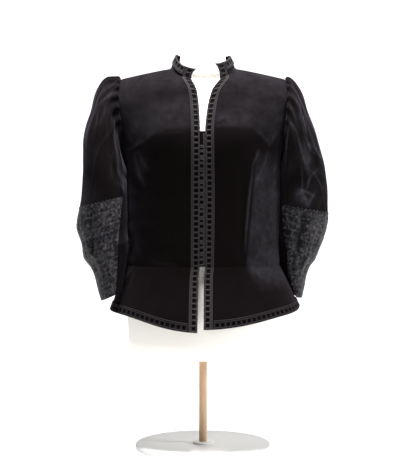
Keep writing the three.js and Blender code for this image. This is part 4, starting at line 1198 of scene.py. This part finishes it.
# Smaller creases of the same kind
FINE_FOLDS = {
    "left": [
        (0.02, 0.22, 44, 74, 3.5, 2.2),
        (0.02, 0.2, 70, 92, 3.5, 2),
        (0.05, 0.3, 104, 140, 4, 2.2),
        (0.3, 0.6, 100, 96, 5, 1.8),
        (0.34, 0.6, 62, 70, 5, -1.8),
        (0.42, 0.61, 128, 140, 5, 2),
        (0.1, 0.34, 12, 22, 4, 1.6),
        (0.5, 0.61, 20, 34, 5, 1.6),
        (0.04, 0.3, 300, 270, 4, 2),
        (0.3, 0.6, 240, 252, 6, 1.8),
        (0.62, 0.88, 96, 92, 5, 1.6),
        (0.64, 0.9, 30, 36, 5, -1.8),
        (0.7, 0.97, 110, 100, 5, 1.6),
        (0.86, 1, 60, 70, 6, 1.5),
    ],
    "right": [
        (0.02, 0.24, 40, 66, 3.5, 2.2),
        (0.03, 0.26, 70, 96, 3.5, 2),
        (0.06, 0.34, 100, 128, 4, 2),
        (0.34, 0.44, 62, 40, 4.5, 3),
        (0.42, 0.5, 36, 60, 4.5, 2.8),
        (0.47, 0.58, 70, 44, 5, 3),
        (0.53, 0.61, 40, 66, 5, 2.6),
        (0.3, 0.58, 108, 116, 5, 1.8),
        (0.04, 0.3, 320, 290, 4, 2),
        (0.3, 0.6, 290, 300, 6, 1.8),
        (0.62, 0.88, 70, 74, 5, 1.6),
        (0.64, 0.9, 120, 126, 5, -1.8),
        (0.7, 0.97, 60, 66, 5, 1.6),
        (0.86, 1, 110, 100, 6, 1.5),
    ],
}
GATHERS, GATHER_SPAN, GATHER_HIGH, GATHER_REACH = 13, 220, 2.6, 0.2
LOWER_WAVES, LOWER_HIGH = 12, 1.7
sleeve_read = {side: [column(SLEEVE[side], k) for k in range(1, 7)] for side in SIGN}


# The rings are flatter beside the body: by how much, over what turn, from where along the sleeve
BESIDE_FLAT, BESIDE_REACH, BESIDE_FROM = 0.9, 0.13, 0.1


FINE_HIGH = 1.2


def sleeve_surface(side):
    ox, oz, ix, iz, middle, half = sleeve_read[side]

    def point(turn, at):
        angle = turn * 2 * math.pi
        share = (1 + np.cos(angle)) / 2
        flat = BESIDE_FLAT * bell(((turn % 1) - 0.5) / BESIDE_REACH) * smooth(at / BESIDE_FROM)
        share = share * (1 - flat)
        x = mix(ix(at), ox(at), share)
        z = mix(iz(at), oz(at), share)
        x = mix(x, trunk_half(z) + 0.5, 1 - smooth(at / 0.05))
        return np.stack([SIGN[side] * x, middle(at) - half(at) * np.sin(angle), z], -1)

    return point


def fold_height(rows, degrees, at):
    height = 0 * degrees
    for start_at, end_at, start, end, wide, high in rows:
        t = np.clip((at - start_at) / (end_at - start_at), 0, 1)
        off = (degrees - mix(start, end, t) + 180) % 360 - 180
        height = height + high * bell(off / wide) * np.sin(math.pi * t) ** 0.6
    return height


def sleeve_relief(side):
    def relief(turn, at, p):
        degrees = (turn % 1) * 360
        from_top = np.where(degrees > 180, degrees - 360, degrees)
        half = GATHER_SPAN / 2
        wave = np.cos((from_top + half) / GATHER_SPAN * GATHERS * 2 * math.pi)
        fade = smooth((half - np.abs(from_top)) / 20)
        reach = smooth(at / 0.03) * np.exp(-((at / GATHER_REACH) ** 2))
        height = np.where(at < TIER_AT, GATHER_HIGH * wave * fade * reach, 0)
        height = height + fold_height(FOLDS[side], degrees, at)
        height = height + FINE_HIGH * fold_height(FINE_FOLDS[side], degrees, at)
        height = height + LINE_RIDGE * line_height(SLEEVE_RIDGE_HIGHLIGHTS[side], degrees, at)
        calm = smooth(at / 0.05)
        seed = 13 if side == "left" else 17
        height = height + 2 * calm * slack(p[..., 1] * 1.3 + p[..., 0], p[..., 2], seed)
        lower = np.clip((at - LOWER_AT) / (CUFF_AT - LOWER_AT), 0, 1)
        gathers = LOWER_HIGH * np.cos(turn * LOWER_WAVES * 2 * math.pi) * smooth(lower / 0.4) * lower
        after = np.exp(-((np.maximum(at - CUFF_AT, 0) / 0.02) ** 2))
        beading = np.abs(at - (BEADING_AT + LOWER_AT) / 2 + 0.0005) * SLEEVE_LONG
        height = height + gathers * after + 0.9 * seam_dip(beading, 1, 6)
        beside = bell((degrees - 180) / 55)
        return mix(height, np.maximum(height, 0.5), beside)

    return relief


# Painted light of the sleeves, an even amount for each, then painted lit patches: along, round in degrees,
# half length, half width, tone
SLEEVE_PAINTED_LIGHT = {"left": 0.012, "right": 0.05}
SLEEVE_PAINTED_PATCHES = {
    "left": [(0.14, 56, 0.08, 24, 0.05), (0.45, 150, 0.12, 16, 0.08)],
    "right": [
        (0.14, 66, 0.09, 24, 0.06),
        (0.34, 74, 0.05, 9, 0.16),
        (0.4, 70, 0.02, 7, 0.3),
        (0.43, 150, 0.1, 12, 0.12),
        (0.55, 100, 0.026, 9, 0.5),
        (0.585, 88, 0.016, 10, 0.3),
        (0.53, 62, 0.08, 9, 0.06),
    ],
}
# Lines of the sleeves, each a ridge with a painted highlight, or, with a tone below 0, a trough with painted
# shade: places along and round in degrees, width in degrees, tone
SLEEVE_RIDGE_HIGHLIGHTS = {
    "left": [
        ([(0.01, 19), (0.07, 45), (0.21, 42)], 2.4, 0.2),
        ([(0.02, 40), (0.085, 59), (0.24, 44)], 2.4, 0.18),
        ([(0.03, 53), (0.16, 67), (0.26, 63)], 2.4, 0.14),
        ([(0.133, 97), (0.552, 64)], 2.4, -0.06),
        ([(0.15, 93), (0.555, 58)], 2.2, 0.09),
        ([(0.065, 89), (0.245, 110)], 2, 0.16),
        ([(0.037, 108), (0.527, 127)], 2, 0.14),
        ([(0.02, 140), (0.61, 139)], 2, 0.18),
        ([(0.24, 104), (0.46, 110)], 2, 0.1),
        ([(0.1, 31), (0.23, 9)], 2.6, 0.12),
        ([(0.05, 300), (0.3, 280)], 3, 0.14),
        ([(0.05, 325), (0.4, 300)], 3, 0.12),
        ([(0.2, 250), (0.6, 262)], 3, 0.12),
    ],
    "right": [
        ([(0.03, 25), (0.1, 40), (0.23, 58), (0.38, 62)], 2.4, 0.42),
        ([(0.04, 46), (0.18, 63), (0.29, 66), (0.38, 59), (0.45, 30)], 2.3, 0.36),
        ([(0.03, 58), (0.083, 89), (0.205, 81), (0.42, 81)], 2, 0.34),
        ([(0.39, 88), (0.59, 97)], 2, 0.26),
        ([(0.06, 98), (0.16, 123)], 2, 0.2),
        ([(0.1, 135), (0.6, 130)], 2, 0.14),
        ([(0.36, 82), (0.475, 74)], 5, 0.34),
        ([(0.455, 30), (0.47, 60), (0.485, 76), (0.535, 85)], 3, 0.34),
        ([(0.46, 70), (0.512, 30)], 2.8, 0.24),
        ([(0.522, 103), (0.572, 68)], 3.6, 0.4),
        ([(0.555, 68), (0.608, 88)], 4, 0.34),
        ([(0.535, 96), (0.605, 85)], 4.5, 0.34),
        ([(0.07, 16), (0.185, 23), (0.33, 28)], 2.6, 0.2),
        ([(0.03, 320), (0.3, 296)], 3, 0.2),
        ([(0.1, 290), (0.5, 282)], 3, 0.2),
        ([(0.3, 250), (0.6, 246)], 3, 0.16),
    ],
}


LINE_RIDGE = 4  # height of a line's ridge for a tone of 1
# How strongly each sleeve's lines are painted lit or shaded.
LINE_PAINTED_LIGHT = {"left": 1.1, "right": 1.3}


def line_height(rows, degrees, at):
    height = 0 * degrees
    for places, wide, high in rows:
        along, around = zip(*places)
        t = np.clip((at - along[0]) / (along[-1] - along[0]), 0, 1)
        off = (degrees - np.interp(at, along, around) + 180) % 360 - 180
        height = height + high * bell(off / wide) * np.sin(math.pi * t) ** 0.5
    return height


# Painted light of a sleeve: its even amount, its lit patches, and its lines' highlights and shade.
def sleeve_painted_light(side, degrees, at):
    tone = SLEEVE_PAINTED_LIGHT[side] + 0 * degrees
    for mid_at, mid, long, wide, amount in SLEEVE_PAINTED_PATCHES[side]:
        off = (degrees - mid + 180) % 360 - 180
        tone = tone + amount * bell((at - mid_at) / long) * bell(off / wide)
    return np.maximum(tone + LINE_PAINTED_LIGHT[side] * line_height(SLEEVE_RIDGE_HIGHLIGHTS[side], degrees, at), 0)


# Sleeve against the body: clearance, softness, start along the sleeve, more over the hem
PRESS_CLEAR, PRESS_SOFT, PRESS_FROM, PRESS_HEM = 0.5, 1, 0.04, 4


def body_half(side, y, z):
    """Half width of the jacket at a place beside the body."""
    front, skirt = y < SIDE_Y, z < WAIST_Z
    half = np.where(skirt, peplum_half(z), trunk_half(z))
    above = np.where(front, trunk_depth["front"](z), trunk_depth["back"](z))
    below = np.where(front, peplum_depth["front"](z), peplum_depth["back"](z))
    cosine = np.clip(np.abs(y - SIDE_Y) / np.where(skirt, below, above), 0, 1) ** (1 / FULLNESS)
    sine = np.sqrt(1 - cosine * cosine)
    fall = np.clip((WAIST_Z - z) / (WAIST_Z - HEM_SIDE), 0, 1)
    return half * sine + (HEM_SHIFT[side] + PRESS_HEM) * fall * sine * sine


class SleeveCloth(Cloth):
    """Sleeve cloth, pressed outwards where it lies against the body."""

    def __init__(self, side):
        super().__init__(sleeve_surface(side), side == "left", sleeve_relief(side))
        self.side = side

    def at(self, u, v, out=0):
        points = super().at(u, v, out)
        plain = super().at(u, v)
        over = body_half(self.side, plain[..., 1], plain[..., 2]) + PRESS_CLEAR - np.abs(plain[..., 0])
        push = (over + np.hypot(over, PRESS_SOFT)) / 2 * smooth((v - PRESS_FROM) / PRESS_FROM)
        points[..., 0] += SIGN[self.side] * push
        return points


SLEEVE_CLOTH = {side: SleeveCloth(side) for side in SIGN}
# The lace covers the outside of the sleeve, a plain strip of this half width in degrees its inside.
UNDER_SLEEVE = [(0.62, 40), (0.76, 49), (0.9, 64), (1, 67)]
under_half = column(UNDER_SLEEVE, 1)
LACE_GAP = 0.001


def lace_half(at):
    return 0.5 - under_half(at) / 360 - LACE_GAP


# Corded lace: a half-drop repeat of six-petalled rosettes with leaf sprays on a net
ROSE_ACROSS = 33
ROSE_DOWN = 30


def cord_line(distance, width=0.95):
    return np.exp(-((distance / width) ** 2))


def lace_height(s, t):
    row = np.floor(t / ROSE_DOWN)
    ds = (s + (row % 2) * ROSE_ACROSS / 2) % ROSE_ACROSS - ROSE_ACROSS / 2
    dt = t % ROSE_DOWN - ROSE_DOWN / 2
    r = np.hypot(ds, dt)
    turn = np.arctan2(dt, ds)
    petal = 8.4 + 2.6 * np.cos(6 * turn + row)
    height = np.maximum(cord_line(r - petal), cord_line(r - 3))
    height = np.maximum(height, 0.75 * cord_line(r, 1.6))
    inside = (r < petal) & (r > 3.6)
    height = np.maximum(height, np.where(inside, 0.36 + 0.1 * np.sin(r * 3), 0))
    for ax, az, lean in ((16.5, 2, 0.7), (-16.5, 2, -0.7), (9, 14.5, 0.2), (-9, 14.5, -0.2), (0, -14, 1.5)):
        x, z = ds - ax, dt - az
        along = x * math.cos(lean) + z * math.sin(lean)
        across = -x * math.sin(lean) + z * math.cos(lean)
        leaf = np.hypot(along / 6.2, across / 2.7)
        height = np.maximum(height, cord_line((leaf - 1) * 3, 0.9))
        height = np.maximum(height, np.where(leaf < 1, 0.5, 0))
    net = 0.1 * (np.sin(s * 2.1) * np.sin(t * 2.1) + 1)
    return np.maximum(height, net)


def sleeve_lengths(side, at_from, at_to):
    """Mean length round and along a part of the sleeve, in millimetres."""
    middle = (at_from + at_to) / 2
    ring = SLEEVE_CLOTH[side].surface(spread(200), np.full(200, middle))
    around = np.linalg.norm(np.diff(ring, axis=0), axis=1).sum()
    down = [
        np.linalg.norm(
            np.diff(SLEEVE_CLOTH[side].surface(np.full(60, turn), spread(60, at_from, at_to)), axis=0), axis=1
        ).sum()
        for turn in spread(8)
    ]
    return around, float(np.mean(down))


def lace_piece(
    name, side, at_from, at_to, columns, rows, edge=None, pattern=lace_height, relief=0.75, lift=0
):
    around, down = sleeve_lengths(side, at_from, at_to)
    share, v = np.meshgrid(spread(columns, -1, 1), spread(rows))
    t = share * lace_half(mix(at_from, at_to, v))
    top = at_from if edge is None else at_from - edge(t * around) / SLEEVE_LONG
    at = mix(top, at_to, v)
    s, d = t * around, v * down
    height = pattern(s, d)
    cloth = SLEEVE_CLOTH[side]
    outer = cloth.at(t, at, relief * height + lift)
    inner = cloth.at(t, at, lift - LACE * 0.7)
    # Painted shade in the fold hollows, taken off the lace's tone.
    shade = np.clip(line_height(LACE_PAINTED_SHADES[side], (t % 1) * 360, at), 0, 1)
    return wall(name, outer, inner, side == "left", False, height * (1 - shade) - LACE_SHADE_DEPTH * shade)


# How dark the painted shade makes the deepest hollow.
LACE_SHADE_DEPTH = 0.5  # tone taken off in the deepest hollow
# Painted shade in the hollows of the lace: places along and round in degrees, width in degrees, share of
# light lost
LACE_PAINTED_SHADES = {
    "left": [
        ([(0.6, 69), (0.75, 67), (0.92, 50)], 5, 0.75),
        ([(0.68, 119), (0.92, 112)], 5, 0.85),
        ([(0.66, 250), (0.92, 255)], 6, 0.6),
    ],
    "right": [
        ([(0.6, 90), (0.81, 92), (0.9, 76)], 5, 0.85),
        ([(0.8, 82), (0.9, 62)], 4, 0.6),
        ([(0.66, 262), (0.9, 252)], 6, 0.6),
    ],
}


SCALLOP, SCALLOP_HIGH = 11, 5.5
BEADING_CELL = 9.4


def scallops(s):
    return SCALLOP_HIGH * np.abs(np.sin(math.pi * s / SCALLOP)) ** 0.7


def edged_lace(s, t):
    """The lace with a cord along its scalloped upper edge and a plain band below it."""
    height = lace_height(s, t)
    arc = np.abs(np.sin(math.pi * s / SCALLOP))
    edge = np.maximum(cord_line(t, 1.3), 0.8 * cord_line(t - 6.5 - 1.5 * arc, 0.9))
    return np.where(t < 9, np.maximum(edge, 0.12), height)


def beading_height(s, t):
    """Slots with the ribbon showing: low is ribbon, high is the band."""
    cell = (s % BEADING_CELL) / BEADING_CELL
    ribbon = smooth((0.31 - np.abs(cell - 0.5)) / 0.05) * smooth((4.2 - np.abs(t - 6)) / 0.8)
    band = 0.62 + 0.3 * np.sin(s * 1.9) * np.sin(t * 2.1)
    return band * (1 - ribbon)


# Along the sleeve: gap under the velvet's edge, and how far each row laps over the next
ROW_GAP = 0.0008
ROW_LAP = 0.003


def make_sleeves():
    for side in SIGN:
        cloth = SLEEVE_CLOTH[side]
        ats = np.concatenate([spread(46, 0, 0.2), spread(62, 0.2, TIER_AT - ROW_GAP)[1:]])
        t, at = np.meshgrid(np.arange(208) / 208, ats)
        tone = sleeve_painted_light(side, t * 360, at)
        obj = wall(f"sleeve_{side}", cloth.at(t, at), cloth.at(t, at, -CLOTH), side == "left", True, tone)
        fit(obj, VELVET, "velvet", f"sleeve_upper_{side}")
        obj = lace_piece(
            f"lace_tier_{side}", side, TIER_AT, BEADING_AT + ROW_LAP, 270, 62, scallops, edged_lace, 0.8, 0.35
        )
        fit(obj, LACE_FINISH, "lace", f"lace_upper_{side}")
        obj = lace_piece(
            f"ribbon_beading_{side}", side, BEADING_AT, LOWER_AT + ROW_LAP, 300, 12, None, beading_height, 1.1
        )
        fit(obj, BEADING, "ribbon", f"beading_{side}")
        obj = lace_piece(f"lace_flounce_{side}", side, LOWER_AT, CUFF_AT + ROW_LAP, 260, 44)
        fit(obj, LACE_FINISH, "lace", f"lace_lower_{side}")
        obj = lace_piece(f"lace_cuff_{side}", side, CUFF_AT, 1, 180, 56)
        fit(obj, LACE_FINISH, "lace", f"cuff_{side}")
        share, at = np.meshgrid(spread(40, -1, 1), spread(110, TIER_AT, 1))
        turn = 0.5 + share * under_half(at) / 360
        obj = wall(f"plain_strip_{side}", cloth.at(turn, at), cloth.at(turn, at, -LACE), side == "left")
        fit(obj, VELVET, "velvet", f"under_sleeve_{side}")


# Dress form
def smooth_node(name):
    """A copy of a node's mesh with its corners joined."""
    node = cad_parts[name]
    copy = bpy.data.objects.new(f"{name}_smooth", node.data.copy())
    bpy.context.collection.objects.link(copy)
    mesh = bmesh.new()
    mesh.from_mesh(copy.data)
    bmesh.ops.remove_doubles(mesh, verts=mesh.verts, dist=1e-5)
    mesh.to_mesh(copy.data)
    mesh.free()
    return copy


def make_form():
    torso = smooth_node("form_torso")
    soften(torso, 35)
    fit(torso, JERSEY, "jersey", "form_torso")


def keep_in_mesh(obj):
    """Puts the object's place into its mesh."""
    select(obj)
    bpy.ops.object.transform_apply(location=True, rotation=True, scale=True)
    return obj


def bevelled(obj, width, segments):
    select(obj)
    modifier = obj.modifiers.new("Bevel", "BEVEL")
    modifier.width, modifier.segments = width, segments
    modifier.limit_method = "ANGLE"
    bpy.ops.object.modifier_apply(modifier=modifier.name)
    return obj


# Stand, in metres: radius, low and high of each turned piece
POLE = (0.01, 0.0043, 0.3)
BASE = (0.168, 0, 0.012)
SOCKET = (0.026, 0.0105, 0.017)


def cylinder(name, size, sides, bevel, segments):
    radius, low, high = size
    select()
    bpy.ops.mesh.primitive_cylinder_add(
        vertices=sides, radius=radius, depth=high - low, location=(0, 0, (low + high) / 2)
    )
    obj = bpy.context.object
    obj.name = name
    return bevelled(keep_in_mesh(obj), bevel, segments)


def make_stand():
    pole = cylinder("pole", POLE, 72, 0.0012, 3)
    soften(pole)
    fit(pole, WOOD, "wood", "form_pole")
    base = cylinder("round_base", BASE, 144, 0.003, 4)
    select(base, cylinder("socket", SOCKET, 72, 0.003, 4))
    bpy.ops.object.join()
    soften(base)
    fit(base, PAINT, "paint", "form_base")


# Studio
CAMERA_BACK = 3.0
CAMERA_UP = 0.6195
CAMERA_LEFT = -0.0075
LENS = 94.5
SHIFT_UP = -28.5 / 457
FLOOR_SIZE, WALL_HIGH, SWEEP = 9, 5, 1.6
WORLD_LIGHT = 0.1
LAMPS_AT = (0, 0, 0.65)
# Lamps: name, place, power, size
LAMPS = [
    ("key", (-0.1, -0.35, 3.0), 260, 0.6),
    ("side", (2.4, -0.6, 1.0), 40, 0.5),
]


def make_studio():
    select()
    bpy.ops.mesh.primitive_plane_add(size=FLOOR_SIZE, location=(0, 0, -0.0002))
    floor = bpy.context.object
    floor.name = "studio_floor"
    keep_in_mesh(floor)
    bpy.ops.object.mode_set(mode="EDIT")
    mesh = bmesh.from_edit_mesh(floor.data)
    for item in list(mesh.verts) + list(mesh.edges) + list(mesh.faces):
        item.select_set(False)
    for edge in mesh.edges:
        edge.select_set(all(v.co.y > 1 for v in edge.verts))
    bmesh.update_edit_mesh(floor.data)
    bpy.ops.mesh.extrude_region_move(TRANSFORM_OT_translate={"value": (0, 0, WALL_HIGH)})
    bpy.ops.object.mode_set(mode="OBJECT")
    bevelled(floor, SWEEP, 16)
    soften(floor, 60)
    stage_finish().give(floor)
    world = bpy.data.worlds.new("Studio")
    world.use_nodes = True
    sky = world.node_tree.nodes["Background"].inputs
    sky["Color"].default_value = (1, 1, 1, 1)
    sky["Strength"].default_value = WORLD_LIGHT
    bpy.context.scene.world = world
    for name, place, power, size in LAMPS:
        light = bpy.data.lights.new(name, "AREA")
        light.energy, light.size = power, size
        lamp = bpy.data.objects.new(name, light)
        bpy.context.collection.objects.link(lamp)
        lamp.location = place
        lamp.rotation_euler = (Vector(LAMPS_AT) - Vector(place)).to_track_quat("-Z", "Y").to_euler()
    view = bpy.data.cameras.new("camera")
    view.lens = LENS
    view.shift_y = SHIFT_UP
    camera = bpy.data.objects.new("camera", view)
    bpy.context.collection.objects.link(camera)
    camera.location = (CAMERA_LEFT, -CAMERA_BACK, CAMERA_UP)
    camera.rotation_euler = (math.pi / 2, 0, 0)
    bpy.context.scene.camera = camera
    bpy.context.scene.view_settings.view_transform = "Standard"


make_bodice()
make_peplum()
make_collar()
make_braids()
make_placket()
make_sleeves()
make_form()
make_stand()
make_studio()
